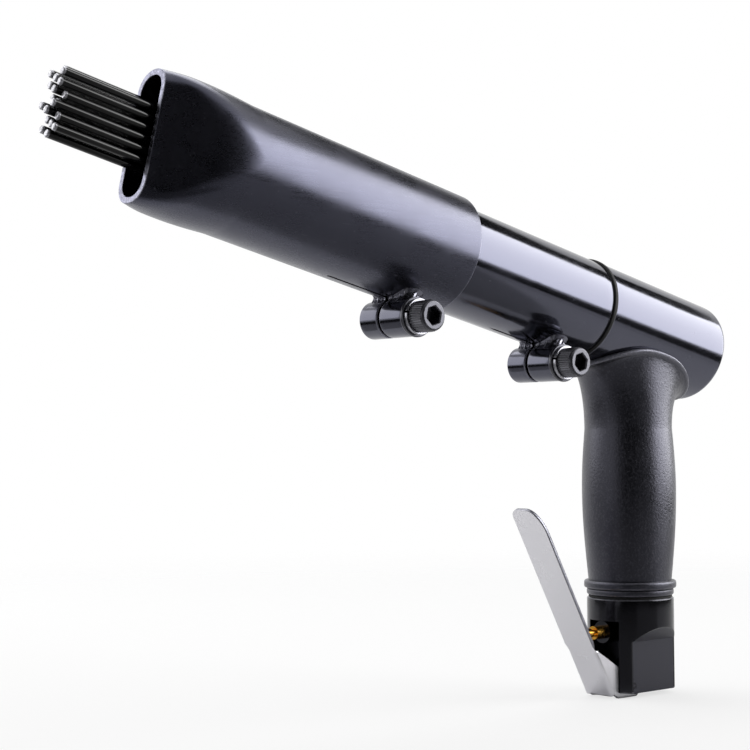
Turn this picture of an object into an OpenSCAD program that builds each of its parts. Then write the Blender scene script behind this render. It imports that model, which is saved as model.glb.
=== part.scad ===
// Needle scaler: a pistol-grip air tool that hammers a bundle of steel needles out of a flat nozzle.
// The origin is the centre of the air inlet's face.
// +Z runs up the handle, +X is forward and +Y is the left side.

/* [Handle] */
// Height of the barrel's axis above the inlet face, along the handle
handle_length = 165; // [158:1:180]
// Angle by which the barrel points up from square to the handle
barrel_pitch = 13; // [8:1:16]
// Diameter of the metal stem inside the grip
stem_d = 26; // [24:1:30]
// Diameter of the air passage in the stem
passage_d = 10; // [8:0.5:12]

/* [Head] */
// Outside diameter of the head
head_d = 46.2; // [45:0.2:50]
// Length of the head behind the handle's axis
head_back = 44.5; // [42:0.5:50]
// Length of the head in front of the handle's axis
head_front = 33; // [30:1:40]
// Radius of the rounded rear edge
head_round = 3; // [2:0.5:6]
// Diameter of the bore that holds the valve and the cylinder
head_bore_d = 36; // [34:0.5:38]
// Wall left at the rear of that bore
head_end_wall = 14.5; // [12:0.5:16]
// Width of the rubber ring in front of the head
ring_w = 2; // [1.5:0.1:3]
// How far that ring stands proud of the head
ring_proud = 0.5; // [0.2:0.1:1]

/* [Grip] */
// Diameter of the grip just above its collar
grip_low_d = 37.8; // [36:0.2:40]
// Largest diameter of the grip
grip_mid_d = 43; // [41:0.2:46]
// Diameter of the grip below its saddle
grip_top_d = 40; // [38:0.2:42]
// Diameter of the grip's collar
collar_d = 42; // [41:0.2:44]
// Height of the collar
collar_h = 3.4; // [2:0.2:5]
// Diameter of the lower bead under the collar
bead_d = 39.6; // [38.6:0.2:41]
// Length of the saddle along the head
saddle_length = 65; // [60:1:70]
// Width of the saddle across the head
saddle_w = 45; // [43:0.5:45.5]
// Thickness of the saddle's lip
saddle_t = 2.4; // [1.6:0.2:3]

/* [Valve block] */
// Diameter of the valve block
block_d = 39.6; // [38:0.2:42]
// Height of the valve block
block_h = 42; // [40:0.5:44]
// Width across the block's two spanner flats
flat_w = 26.7; // [25.5:0.1:28]
// Height of the flats
flat_h = 23; // [18:0.5:25]
// Width of the slot that takes the lever's ears
slot_w = 17.4; // [17.2:0.1:18]
// Height of that slot
slot_h = 32; // [31.5:0.25:33]
// Distance from the handle's axis to the slot's back wall
slot_back = 7.5; // [7.2:0.1:8]
// Drilled diameter of the air inlet's pipe thread
inlet_d = 11.4; // [10:0.1:12]
// Depth of the inlet's thread
inlet_depth = 13; // [10:0.5:14]
// Thickness of the rubber seal between the block and the stem
block_seal_t = 0.8; // [0.6:0.1:1.2]

/* [Throttle] */
// Height of the throttle stem's axis
throttle_z = 27; // [26.5:0.1:27.3]
// Diameter of the throttle stem
throttle_d = 6; // [5:0.25:6.5]
// Diameter of the bush that guides the stem
bush_d = 10; // [9:0.25:10]
// Travel of the stem when the lever is squeezed
throttle_travel = 5.6; // [4:0.1:6]
// Wire of the throttle spring
throttle_wire = 0.8; // [0.6:0.05:0.9]

/* [Lever] */
// Width of the lever
lever_w = 16.6; // [15.8:0.1:16.8]
// Length of the lever above its pin
lever_length = 96.5; // [86:0.5:105]
// Thickness of the lever's sheet
lever_t = 1.6; // [1.2:0.1:2]
// Lean of the released lever away from the handle
lever_lean = 28.9; // [27:0.1:30]
// Distance from the pin to the lever's outer face
lever_reach = 9.9; // [9.5:0.1:10.3]
// Distance of the lever's pin in front of the handle's axis
pin_x = 13.3; // [13:0.1:13.4]
// Height of the lever's pin above the inlet face
pin_z = 3.7; // [3.6:0.1:4.4]
// Diameter of the lever's pin
pin_d = 2.5; // [2:0.1:2.6]

/* [Rear tube] */
// Outside diameter of the rear tube
rear_tube_d = 45.5; // [45:0.25:47]
// Wall of the rear tube
rear_wall = 2.2; // [1.8:0.1:2.6]
// Length of the rear tube
rear_length = 170; // [160:1:175]
// Length of the slit under the rear tube
rear_slit = 51.5; // [40:0.5:60]
// Distance of the rear clamp's screw from the tube's end
rear_clamp_in = 19; // [16:0.5:24]

/* [Front tube] */
// Wall of the front tube
front_wall = 2.75; // [2.2:0.05:3.2]
// Sliding gap between the two tubes
tube_gap = 0.35; // [0.3:0.05:0.5]
// Place of the front tube's rear end along the barrel
front_start = 120.5; // [115:0.5:130]
// Length of the front tube
front_length = 149.5; // [145:0.5:155]
// Length of the flattened nozzle
nozzle_length = 38; // [34:0.5:42]
// Height of the mouth
mouth_h = 52; // [48:0.5:54]
// Width of the mouth
mouth_w = 18.5; // [18:0.25:22]
// Wall at the mouth
mouth_wall = 2.5; // [1.8:0.1:2.8]
// How far the pressed sides push the nozzle's top and bottom out
nozzle_swell = 0.9; // [0.4:0.1:1.2]
// Length of the slit under the front tube
front_slit = 56.5; // [45:0.5:65]
// Distance of the front clamp's screw from the tube's end
front_clamp_in = 19.6; // [16:0.2:24]

/* [Clamps] */
// Diameter of the clamp lugs
lug_d = 15.6; // [14.6:0.2:16.4]
// Distance from the tube's surface to the screw's axis
lug_drop = 8; // [7.8:0.1:9]
// Reach of the lug under the screw's head, from the slit
near_lug = 13.5; // [12:0.5:16]
// Reach of the threaded lug, from the slit
far_lug = 11; // [9:0.5:13]
// Width of the slits
slit_w = 1.5; // [1:0.1:2]
// Thread diameter of the clamp screws
screw_d = 8; // [7.8:0.1:8.2]
// Head diameter of the clamp screws
screw_head_d = 13; // [12.5:0.1:13.5]
// Head height of the clamp screws
screw_head_h = 8; // [7:0.2:9]
// Width of the hexagon socket across its flats
socket_w = 6; // [5:0.1:6.5]
// Thickness of the flat washers
washer_t = 1.5; // [1:0.1:2]
// Thickness of the spring washers
spring_washer_t = 1.9; // [1.5:0.1:2.2]
// Outside diameter of the spring washers
spring_washer_d = 14.8; // [14:0.1:15.4]

/* [Hammer] */
// Diameter of the piston
piston_d = 24; // [22:0.5:25]
// Length of the piston
piston_length = 46; // [40:1:50]
// Length of the cylinder
cylinder_length = 118; // [112:1:122]
// Thickness of the rear valve plate
valve_cap_t = 10; // [8:0.5:12]
// Thickness of the front valve plate
valve_seat_t = 10; // [8:0.5:12]
// Thickness of the valve disc
valve_disc_t = 1.6; // [1:0.1:2]
// Travel of the valve disc
valve_travel = 0.8; // [0.5:0.1:1]
// Diameter of the anvil's shank
anvil_shank_d = 16; // [14:0.5:17]
// Length of the anvil's shank
anvil_shank = 34; // [30:1:38]
// Thickness of the anvil's head
anvil_head_t = 17.2; // [14:0.2:18]

/* [Needles] */
// Diameter of a needle
needle_d = 3; // [2.5:0.1:3.2]
// Length of a needle
needle_length = 182; // [172:1:190]
// Spread of the needle tips, from wear
needle_wear = 4; // [0:0.5:5]
// Diameter of a needle's head
needle_head_d = 3.8; // [3.4:0.05:3.9]
// Thickness of a needle's head
needle_head_t = 3; // [2:0.25:4]
// Step between needles in a column
needle_pitch = 4.1; // [4.1:0.05:4.3]
// Step between the columns of needles
column_pitch = 3.9; // [3.8:0.05:4]
// Needles in each column
needle_columns = [6, 7, 6];
// Thickness of the needle holder
holder_t = 10; // [8:0.5:12]
// Wire of the needle spring
needle_wire = 2.2; // [1.8:0.1:2.4]
// Curls of the needle spring
needle_curls = 11; // [8:1:13]

/* [Hidden] */
$fn = 96;
// Gap of parts that are fitted and stay together
fit = 0.05;
// Running clearance of a pin or a shaft
run = 0.05;
// Gap of faces and sides that move past each other
rest_gap = 0.3;
// How far a cut runs past the surface it opens
over = 2;
// Faces of a faceted round shape
facets = 32;
// Steps of a rounded edge
round_steps = 8;

// Radii of the barrel's stack, from the outside in
head_r = head_d / 2;
head_bore_r = head_bore_d / 2;
rear_r = rear_tube_d / 2;
rear_bore_r = rear_r - rear_wall;
front_bore_r = rear_r + tube_gap;
front_r = front_bore_r + front_wall;
cylinder_r = rear_bore_r - fit;
piston_r = piston_d / 2;
needle_r = needle_d / 2;
lug_r = lug_d / 2;

// Places along the barrel, from the handle's axis
bore_end = head_end_wall - head_back;
disc_back = bore_end + valve_cap_t - valve_disc_t - valve_travel - 2 * rest_gap;
cylinder_start = bore_end + valve_cap_t + valve_seat_t;
cylinder_front = cylinder_start + cylinder_length;
rear_start = head_front + ring_w;
rear_end = rear_start + rear_length;
rear_lip_share = 1.4;
rear_lip_t = rear_wall * rear_lip_share;
anvil_start = cylinder_front + rest_gap;
anvil_front = anvil_start + anvil_head_t;
anvil_tail = anvil_start - anvil_shank;
needle_start = anvil_front + rest_gap;
holder_start = needle_start + needle_head_t;
holder_front = holder_start + holder_t;
front_end = front_start + front_length;
nozzle_start = front_end - nozzle_length;
rear_clamp_x = rear_start + rear_clamp_in;
front_clamp_x = front_start + front_clamp_in;
clamp_side_share = 0.6;
clamp_y = slit_w * clamp_side_share;

// The cylinder: a necked tail in the air chamber, a spigot in the head and a body in the rear tube
tail_wall_share = 0.33;
tail_r = piston_r + (head_bore_r - piston_r) * tail_wall_share;
tail_length = 18;
nose_length = anvil_shank / 2;
exhaust_share = 0.33;
exhaust_x = head_front + (cylinder_front - head_front) * exhaust_share;
exhaust_r = 2.5;
exhaust_count = 4;
groove_w = 5;
groove_deep = 1.2;
seal_r = 0.75;
seal_x = cylinder_start + tail_length + 3 * seal_r;

// The valve plates
port_count = 6;
port_r = 1.5;
port_ring_r = (tail_r + head_bore_r) / 2;
disc_share = 0.75;
disc_r = piston_r * disc_share;
disc_hole_share = 0.33;
disc_hole_r = disc_r * disc_hole_share;

// The valve block and the throttle, across the handle
block_r = block_d / 2;
spigot_wall = 4;
spigot_d = passage_d + 2 * spigot_wall;
spigot_h = 13;
block_top = block_h + block_seal_t;
seat_back = 2;
seat_x = -seat_back;
poppet_t = 3;
poppet_gap = 0.7;
poppet_r = bush_d / 2 - poppet_gap;
poppet_back = seat_x - rest_gap - poppet_t;
throttle_curls = 4;
plug_front = poppet_back - throttle_travel - throttle_wire * (throttle_curls + 1);
plug_step = 0.8;
plug_d = bush_d + 2 * plug_step;
plug_sunk = 1.2;
plug_end = plug_sunk - block_r;
plug_socket_share = 0.43;
plug_socket_w = plug_d * plug_socket_share;
plug_socket_deep_share = 0.6;
chamber_r = bush_d / 2 + fit;
bush_reach_share = 1.2;
bush_front = slot_back + bush_d * bush_reach_share;
neck_share = 0.3;
neck_r = throttle_d * neck_share;
neck_front = seat_x + bush_d / 2;
port_x = (seat_x + neck_front) / 2;
screen_t = 2;
screen_in = 0.7;
screen_r = inlet_d / 2 - screen_in;
screen_seat_share = 0.85;
screen_hole_r = 0.45;
screen_step = 1.7;
stem_seal_w = 2;
stem_seal_t = 1.05;
stem_seal_r = throttle_d / 2 + stem_seal_t;
cross_r = 2.2;
cross_share = 0.32;
cross_x = plug_front * cross_share;
bush_port_share = 0.8;

// The lever: its inner face, and the domed tip of the stem that it pushes
lever_inner = lever_reach - lever_t;
tip_share = 0.37;
tip_r = throttle_d * tip_share;
face_x = pin_x + (throttle_z - pin_z) * tan(lever_lean) + lever_inner / cos(lever_lean);
tip_x = face_x - (tip_r + rest_gap) / cos(lever_lean);
button_length = 5;
button_start = tip_x - button_length;
waist = 2.4;
ear_r = 4.6;
ear_rise = 23.5;
ear_knee_share = 0.4;
toe_drop = 2.2;
toe_back = 8.4;
lever_round_share = 0.47;
lever_round = lever_w * lever_round_share;
ear_heel_share = 0.9;
ear_back_angles = [205, 120];
toe_point_share = 0.85;
toe_lip_share = 0.6;
channel_step = 0.1;

// The nozzle
nozzle_rings = 9;
nozzle_step = 0.2;
press_soft = 4;
press_soft_middle = 60;
press_slope_share = 0.27;
crowd_share = 0.6;
crown_share = 0.04;
end_round_share = 0.88;
quarter_points = 12;

// The clamps
weld_share = 0.72;
weld_reach_shares = [0.8, 0.72];
weld_rise_share = 1.6;
socket_floor_share = 0.45;

// The grip
grip_gap = 0.2;
grip_bottom = block_top + grip_gap;
bead_h = 2.7;
bead_gap = 0.4;
collar_start = grip_bottom + bead_h + bead_gap;
collar_end = collar_start + collar_h;
grip_mid_drop = 74;
grip_mid_z = handle_length - grip_mid_drop;
grip_top_drop = 46;
grip_top_z = handle_length - grip_top_drop;
saddle_x = -4;
flare_rings = 7;
flare_tuck = 0.5;

// The needles and their spring
bundle_r = needle_pitch * (max(needle_columns) - 1) / 2 + needle_r;
spring_mean_r = (bundle_r + rear_bore_r) / 2 + needle_wire / 4;
spring_start = holder_front + rest_gap;
spring_end = rear_end - rear_lip_t - fit;
lip_cover_share = 0.6;
lip_r = spring_mean_r - needle_wire * lip_cover_share;
holder_r = rear_bore_r - rest_gap;
throttle_spring_r = poppet_r - throttle_wire;

// Points of an arc about a centre
function arc(centre, r, from, to) =
    [for (i = [0:round_steps]) let (a = from + (to - from) * i / round_steps)
        [centre[0] + r * cos(a), centre[1] + r * sin(a)]];

// Places of the needles across the barrel, with a wear share from 0 to 1 for each
wear_turn = 137.5;
function needle_places() =
    [for (c = [0:len(needle_columns) - 1]) for (i = [0:needle_columns[c] - 1])
        [(c - (len(needle_columns) - 1) / 2) * column_pitch,
         (i - (needle_columns[c] - 1) / 2) * needle_pitch,
         (1 + sin(wear_turn * (i + 3 * c * needle_columns[1]))) / 2]];

// Centre line of a coil that winds about Z: eight places a curl
coil_steps = 8;
function coil_line(mean_r, rise, curls) =
    [for (i = [0:curls * coil_steps]) let (a = 360 * i / coil_steps)
        [mean_r * cos(a), mean_r * sin(a), rise * i / (curls * coil_steps)]];

// Least distance between places of a line that are about one curl apart, less the wire
function coil_gap(line, wire) =
    min([for (i = [0:len(line) - 1]) for (j = [i + coil_steps / 2:min(i + 2 * coil_steps, len(line) - 1)])
        norm(line[j] - line[i])]) - wire;

// The barrel's own frame: X along its axis from the handle's axis, Z up
module on_barrel(x = 0) {
    translate([0, 0, handle_length]) rotate([0, -barrel_pitch, 0]) translate([x, 0, 0]) children();
}

// A piece turned about the barrel's axis, from points given as radius and place
module turned(points) {
    on_barrel() rotate([0, 90, 0]) rotate_extrude() polygon(points);
}

// A round bar along the barrel between two places
module bar(r, from, to) {
    on_barrel(from) rotate([0, 90, 0]) cylinder(r = r, h = to - from);
}

// A round bar across the handle, along X, at the throttle's height
module cross_bar(r, from, to) {
    translate([from, 0, throttle_z]) rotate([0, 90, 0]) cylinder(r = r, h = to - from);
}

// A round bar along Y between two places
module side_bar(r, from, to) {
    translate([0, from, 0]) rotate([-90, 0, 0]) cylinder(r = r, h = to - from);
}

// A hexagon across its flats
module hexagon(w) {
    circle(d = w / cos(30), $fn = 6);
}

// A solid drawn through rings of points, each ring turning to the right-hand rule along the way
module loft(rings) {
    sides = len(rings[0]);
    count = len(rings);
    walls = [for (i = [0:count - 2]) for (k = [0:sides - 1])
        let (p = i * sides + k, q = i * sides + (k + 1) % sides)
        each [[p, p + sides, q], [q, p + sides, q + sides]]];
    first = [for (k = [0:sides - 1]) k];
    last = [for (k = [0:sides - 1]) count * sides - 1 - k];
    polyhedron([for (ring = rings) each ring], concat(walls, [first, last]));
}

// A wound wire about Z, swept as one tube with six sides
module coil(mean_r, wire, rise, curls) {
    sides = 6;
    line = coil_line(mean_r, rise, curls);
    loft([for (i = [0:len(line) - 1]) [for (k = [0:sides - 1])
        let (a = 360 * i / coil_steps, b = -360 * k / sides, r = mean_r + wire / 2 * cos(b))
        [r * cos(a), r * sin(a), line[i][2] + wire / 2 * sin(b)]]]);
}

// A point of the saddle's outline, at an angle about the handle,
// carried straight in to a shell about the barrel
function saddle_point(a, shell_r) =
    let (end_r = saddle_w / 2,
         straight = (saddle_length - saddle_w) / 2,
         x = saddle_x + sign(cos(a)) * straight + end_r * cos(a),
         share = end_r * sin(a) / (head_r + saddle_t),
         z = -shell_r * sqrt(1 - share * share))
    [x * cos(barrel_pitch) - z * sin(barrel_pitch), shell_r * share,
     handle_length + x * sin(barrel_pitch) + z * cos(barrel_pitch)];

// The flare from the grip's column to its saddle:
// it leaves the column upwards and ends in a lip on the head
module saddle_flare(column_r, from) {
    angles = [for (k = [0:2 * facets - 1]) 180 * (k + 1 / 2) / facets];
    foot = [for (a = angles) [column_r * cos(a), column_r * sin(a), from]];
    rim = [for (a = angles) saddle_point(a, head_r + saddle_t)];
    curve = [for (i = [0:flare_rings - 1]) let (t = 90 * i / (flare_rings - 1))
        [for (k = [0:len(angles) - 1]) let (reach = rim[k] - foot[k])
            foot[k] + [reach[0] * (1 - cos(t)), reach[1] * (1 - cos(t)), reach[2] * sin(t)]]];
    lip = [for (a = angles) saddle_point(a, head_r - flare_tuck)];
    inner = [for (a = angles) [column_r / 2 * cos(a), column_r / 2 * sin(a), handle_length]];
    loft(concat(curve, [lip, inner]));
}

// Head and handle stem in one casting, with the air passage
module pistol_body() {
    color([0.07, 0.07, 0.08]) difference() {
        union() {
            turned(concat(
                [[0, head_front], [0, -head_back]],
                [for (p = arc([head_r - head_round, head_round - head_back], head_round, -90, 0)) p],
                [[head_r, head_front]]));
            translate([0, 0, block_top]) cylinder(d = stem_d, h = handle_length - block_top);
        }
        bar(head_bore_r, bore_end, head_front + over);
        translate([0, 0, block_top - over]) cylinder(d = passage_d, h = handle_length - block_top);
        translate([0, 0, block_top - over]) cylinder(d = spigot_d + 2 * fit, h = spigot_h + over);
    }
}

// Rubber grip: collar, swelling column and a saddle that hugs the head
module grip_sleeve() {
    low_r = grip_low_d / 2;
    mid_r = grip_mid_d / 2;
    top_r = grip_top_d / 2;
    bead_r = bead_d / 2;
    collar_r = collar_d / 2;
    swell = [for (i = [0:round_steps]) let (t = i / round_steps)
        [low_r + (mid_r - low_r) * sin(90 * t), collar_end + (grip_mid_z - collar_end) * t]];
    waist_in = [for (i = [1:round_steps]) let (t = i / round_steps)
        [mid_r - (mid_r - top_r) * (1 - cos(90 * t)), grip_mid_z + (grip_top_z - grip_mid_z) * t]];
    color([0.09, 0.09, 0.1]) difference() {
        union() {
            rotate_extrude() polygon(concat(
                [[0, grip_bottom], [bead_r, grip_bottom], [bead_r, grip_bottom + bead_h],
                 [low_r, grip_bottom + bead_h], [low_r, collar_start], [collar_r, collar_start],
                 [collar_r, collar_end]],
                swell, waist_in,
                [[0, grip_top_z]]));
            saddle_flare(top_r - flare_tuck / 3, grip_top_z - flare_tuck);
        }
        bar(head_r + fit, -2 * head_back, 2 * head_back);
        cylinder(d = stem_d + 2 * fit, h = handle_length);
    }
}

// Rubber ring between the head and the rear tube
module head_ring() {
    outer = head_r + ring_proud;
    color([0.03, 0.03, 0.03]) turned([
        [cylinder_r + fit, head_front], [outer, head_front],
        [outer, rear_start], [cylinder_r + fit, rear_start]]);
}

// Rubber seal between the valve block and the stem
module block_seal() {
    color([0.03, 0.03, 0.03]) translate([0, 0, block_h]) difference() {
        cylinder(d = block_d - 2 * block_seal_t, h = block_seal_t);
        translate([0, 0, -over]) cylinder(d = spigot_d + 2 * fit, h = block_seal_t + 2 * over);
    }
}

// Valve block: spigot, spanner flats, lever slot, air inlet and throttle bore
module valve_block() {
    flat_y = flat_w / 2;
    run_out = block_r - flat_y;
    color([0.06, 0.06, 0.07]) difference() {
        union() {
            cylinder(r = block_r, h = block_h);
            cylinder(d = spigot_d, h = block_h + spigot_h);
        }
        for (side = [0, 1])
            mirror([0, side, 0]) translate([-block_d, 0, 0]) rotate([90, 0, 90]) linear_extrude(2 * block_d)
                polygon([[flat_y, -over], [flat_y, flat_h], [block_r + run_out, flat_h + run_out],
                         [block_r + run_out, -over]]);
        translate([slot_back, -slot_w / 2, -over]) cube([block_d, slot_w, slot_h + over]);
        translate([0, 0, -over]) cylinder(d = inlet_d, h = inlet_depth + over);
        cylinder(r = screen_r + fit, h = inlet_depth + screen_t);
        cylinder(r = screen_r * screen_seat_share, h = inlet_depth + 2 * screen_t);
        translate([cross_x, 0, inlet_depth]) cylinder(r = cross_r, h = throttle_z - inlet_depth);
        cross_bar(chamber_r, plug_front - over, slot_back + over);
        cross_bar(plug_d / 2 + fit, -block_d, plug_front);
        translate([port_x, 0, throttle_z]) cylinder(r = cross_r, h = block_h + spigot_h);
        translate([pin_x, 0, pin_z]) side_bar(pin_d / 2 + fit / 2, -block_d, block_d);
    }
}

// Screen that keeps grit out of the inlet
module inlet_screen() {
    rings = 2;
    color([0.72, 0.62, 0.35]) translate([0, 0, inlet_depth]) difference() {
        cylinder(r = screen_r, h = screen_t);
        for (ring = [0:rings])
            for (i = [0:max(6 * ring, 1) - 1])
                rotate([0, 0, 360 * i / max(6 * ring, 1)]) translate([screen_step * ring, 0, -over])
                    cylinder(r = screen_hole_r, h = screen_t + 2 * over, $fn = facets);
    }
}

// Bush with the throttle's valve seat, an air port and a seal groove
module throttle_bush() {
    color([0.1, 0.1, 0.11]) difference() {
        cross_bar(bush_d / 2, seat_x, bush_front);
        cross_bar(throttle_d / 2 + run, seat_x - over, bush_front + over);
        cross_bar(stem_seal_r + fit, slot_back, slot_back + stem_seal_w);
        translate([port_x, 0, throttle_z]) cylinder(r = cross_r * bush_port_share, h = bush_d);
    }
}

// Seal ring round the throttle stem
module stem_seal() {
    color([0.03, 0.03, 0.03]) difference() {
        cross_bar(stem_seal_r, slot_back, slot_back + stem_seal_w);
        cross_bar(throttle_d / 2 + run, slot_back - over, slot_back + stem_seal_w + over);
    }
}

// Brass throttle stem, from its necked tail to the button under the lever
module throttle_stem() {
    color([0.8, 0.58, 0.2]) {
        cross_bar(neck_r, poppet_back, neck_front);
        cross_bar(throttle_d / 2, neck_front, button_start - waist);
        cross_bar(neck_r, button_start - waist, button_start);
        cross_bar(tip_r, button_start, tip_x);
        translate([tip_x, 0, throttle_z]) sphere(r = tip_r);
    }
}

// Poppet that closes against the bush
module throttle_poppet() {
    color([0.1, 0.1, 0.1]) difference() {
        cross_bar(poppet_r, poppet_back, seat_x - rest_gap);
        cross_bar(neck_r + fit, poppet_back - over, seat_x + over);
    }
}

// Spring that closes the poppet and pushes the lever out
module throttle_spring() {
    rise = poppet_back - plug_front - throttle_wire - 2 * fit;
    echo(str("throttle spring least gap ",
        coil_gap(coil_line(throttle_spring_r, rise, throttle_curls), throttle_wire)));
    color([0.75, 0.75, 0.78])
        translate([plug_front + throttle_wire / 2 + fit, 0, throttle_z]) rotate([0, 90, 0])
        coil(throttle_spring_r, throttle_wire, rise, throttle_curls);
}

// Screwed plug behind the throttle spring
module valve_plug() {
    socket_deep = (plug_front - plug_end) * plug_socket_deep_share;
    color([0.12, 0.12, 0.13]) difference() {
        cross_bar(plug_d / 2, plug_end, plug_front);
        translate([plug_end - over, 0, throttle_z]) rotate([0, 90, 0])
            linear_extrude(socket_deep + over) hexagon(plug_socket_w);
    }
}

// A point of the lever's side view, from its place up the lever and its distance out from the pin's line
function lean(up, out) =
    [pin_x + out * cos(lever_lean) + up * sin(lever_lean),
     pin_z - out * sin(lever_lean) + up * cos(lever_lean)];

// Pressed steel lever: a strip with a rounded end, two ears on the pin and a toe below the block
module throttle_lever() {
    half = lever_w / 2;
    foot = ear_r * ear_heel_share;
    side = concat(
        [lean(lever_length + over, lever_reach), lean(0, lever_reach), [pin_x + ear_r, -toe_drop],
         [pin_x - toe_back * toe_point_share, -toe_drop], [pin_x - toe_back, -toe_drop * toe_lip_share],
         [pin_x - toe_back, -rest_gap], [pin_x - foot, -rest_gap]],
        arc([pin_x, pin_z], ear_r, ear_back_angles[0], ear_back_angles[1]),
        [lean(ear_rise * ear_knee_share, 0), lean(ear_rise, lever_inner),
         lean(lever_length + over, lever_inner)]);
    round_start = lever_length - lever_round;
    trim = concat(
        [[round_start, half + over], [lever_length + 2 * over, half + over],
         [lever_length + 2 * over, -half - over], [round_start, -half - over]],
        arc([round_start, lever_round - half], lever_round, -90, 0),
        arc([round_start, half - lever_round], lever_round, 0, 90));
    color([0.82, 0.82, 0.84]) difference() {
        translate([0, half, 0]) rotate([90, 0, 0]) linear_extrude(lever_w) polygon(side);
        translate([pin_x, 0, pin_z]) rotate([0, lever_lean, 0]) {
            translate([-block_d, lever_t - half, -block_d])
                cube([block_d + lever_inner + channel_step, lever_w - 2 * lever_t, block_d + ear_rise]);
            rotate([0, -90, 0]) translate([0, 0, -block_d]) linear_extrude(2 * block_d) polygon(trim);
            side_bar(pin_d / 2 + run, -lever_w, lever_w);
        }
    }
}

// Pin that the lever turns on, a little below the block's flats
module lever_pin() {
    reach = flat_w / 2 - rest_gap;
    color([0.6, 0.6, 0.62]) translate([pin_x, 0, pin_z]) side_bar(pin_d / 2, -reach, reach);
}

// Ring of air ports through a valve plate
module ports(from, to) {
    for (i = [0:port_count - 1])
        on_barrel(from) rotate([360 * i / port_count, 0, 0]) translate([0, 0, port_ring_r]) rotate([0, 90, 0])
            cylinder(r = port_r, h = to - from, $fn = facets);
}

// Rear valve plate with the pocket that the valve disc works in
module valve_cap() {
    front = bore_end + valve_cap_t;
    color([0.55, 0.56, 0.58]) difference() {
        bar(head_bore_r - fit, bore_end, front);
        bar(disc_r + rest_gap, disc_back - rest_gap, front + over);
        bar(disc_hole_r, bore_end + rest_gap, front);
        ports(bore_end - over, front + over);
    }
}

// Valve disc that shuttles between the two plates
module valve_disc() {
    color([0.75, 0.76, 0.78]) difference() {
        bar(disc_r, disc_back, disc_back + valve_disc_t);
        bar(disc_hole_r, disc_back - over, disc_back + valve_disc_t + over);
    }
}

// Front valve plate between the disc and the cylinder
module valve_seat() {
    back = bore_end + valve_cap_t;
    color([0.55, 0.56, 0.58]) difference() {
        bar(head_bore_r - fit, back, cylinder_start);
        bar(disc_r / 2, back - over, cylinder_start + over);
        ports(back - over, cylinder_start + over);
    }
}

// Hammer cylinder: tail in the air chamber, spigot in the head, body in the rear tube
module cylinder_body() {
    spigot = cylinder_start + tail_length;
    spigot_r = head_bore_r - fit;
    turned([
        [0, cylinder_start], [tail_r, cylinder_start], [tail_r, spigot], [spigot_r, spigot],
        [spigot_r, head_front], [cylinder_r, head_front], [cylinder_r, cylinder_front], [0, cylinder_front]]);
}

module cylinder_node() {
    nose = cylinder_front - nose_length;
    color([0.5, 0.51, 0.53]) difference() {
        cylinder_body();
        bar(piston_r + run, cylinder_start - over, nose);
        bar(anvil_shank_d / 2 + run, cylinder_start, cylinder_front + over);
        for (i = [0:exhaust_count - 1])
            on_barrel() rotate([360 * (i + 0.5) / exhaust_count, 0, 0]) {
                translate([exhaust_x, 0, 0]) cylinder(r = exhaust_r, h = cylinder_r + over);
                translate([exhaust_x - groove_w / 2, -groove_w / 2, cylinder_r - groove_deep])
                    cube([cylinder_front - exhaust_x + groove_w, groove_w, groove_deep + over]);
            }
        turned([
            [head_bore_r - 2 * seal_r - fit, seal_x - seal_r - fit],
            [head_bore_r + over, seal_x - seal_r - fit],
            [head_bore_r + over, seal_x + seal_r + fit],
            [head_bore_r - 2 * seal_r - fit, seal_x + seal_r + fit]]);
    }
}

// Seal ring in the cylinder's groove
module cylinder_seal() {
    ring_r = head_bore_r - seal_r - fit / 2;
    color([0.03, 0.03, 0.03]) on_barrel(seal_x) rotate([0, 90, 0]) rotate_extrude()
        translate([ring_r, 0]) circle(r = seal_r - fit / 2, $fn = facets);
}

// Piston with two oil grooves
module piston() {
    back = cylinder_start + rest_gap;
    front = back + piston_length;
    groove = piston_length / 20;
    deep = groove / 3;
    cuts = [for (share = [0.25, 0.75]) back + share * piston_length];
    color([0.7, 0.71, 0.73]) turned(concat(
        [[0, back], [piston_r - groove, back], [piston_r, back + groove]],
        [for (x = cuts) each [
            [piston_r, x - groove / 2], [piston_r - deep, x - groove / 2],
            [piston_r - deep, x + groove / 2], [piston_r, x + groove / 2]]],
        [[piston_r, front - groove], [piston_r - groove, front], [0, front]]));
}

// Anvil: a shank in the cylinder's nose and a head behind the needles
module anvil() {
    shank_r = anvil_shank_d / 2;
    head = rear_bore_r - rest_gap;
    bevel = anvil_head_t / 12;
    color([0.62, 0.63, 0.65]) turned([
        [0, anvil_tail], [shank_r - bevel, anvil_tail], [shank_r, anvil_tail + bevel], [shank_r, anvil_start],
        [head - bevel, anvil_start], [head, anvil_start + bevel], [head, anvil_front - bevel],
        [head - bevel, anvil_front], [0, anvil_front]]);
}

// Slit along a tube's underside, open at the tube's rear end
module slit(from, length, r) {
    on_barrel(from - over) translate([0, clamp_y - slit_w / 2, -r - over])
        cube([length + over, slit_w, r + over]);
}

// Rear tube, with a lip at its front that the needle spring bears on
module rear_tube() {
    color([0.07, 0.07, 0.08]) difference() {
        bar(rear_r, rear_start, rear_end);
        bar(rear_bore_r, rear_start - over, rear_end - rear_lip_t);
        bar(lip_r, rear_start, rear_end + over);
        slit(rear_start, rear_slit, rear_r);
    }
}

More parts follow.
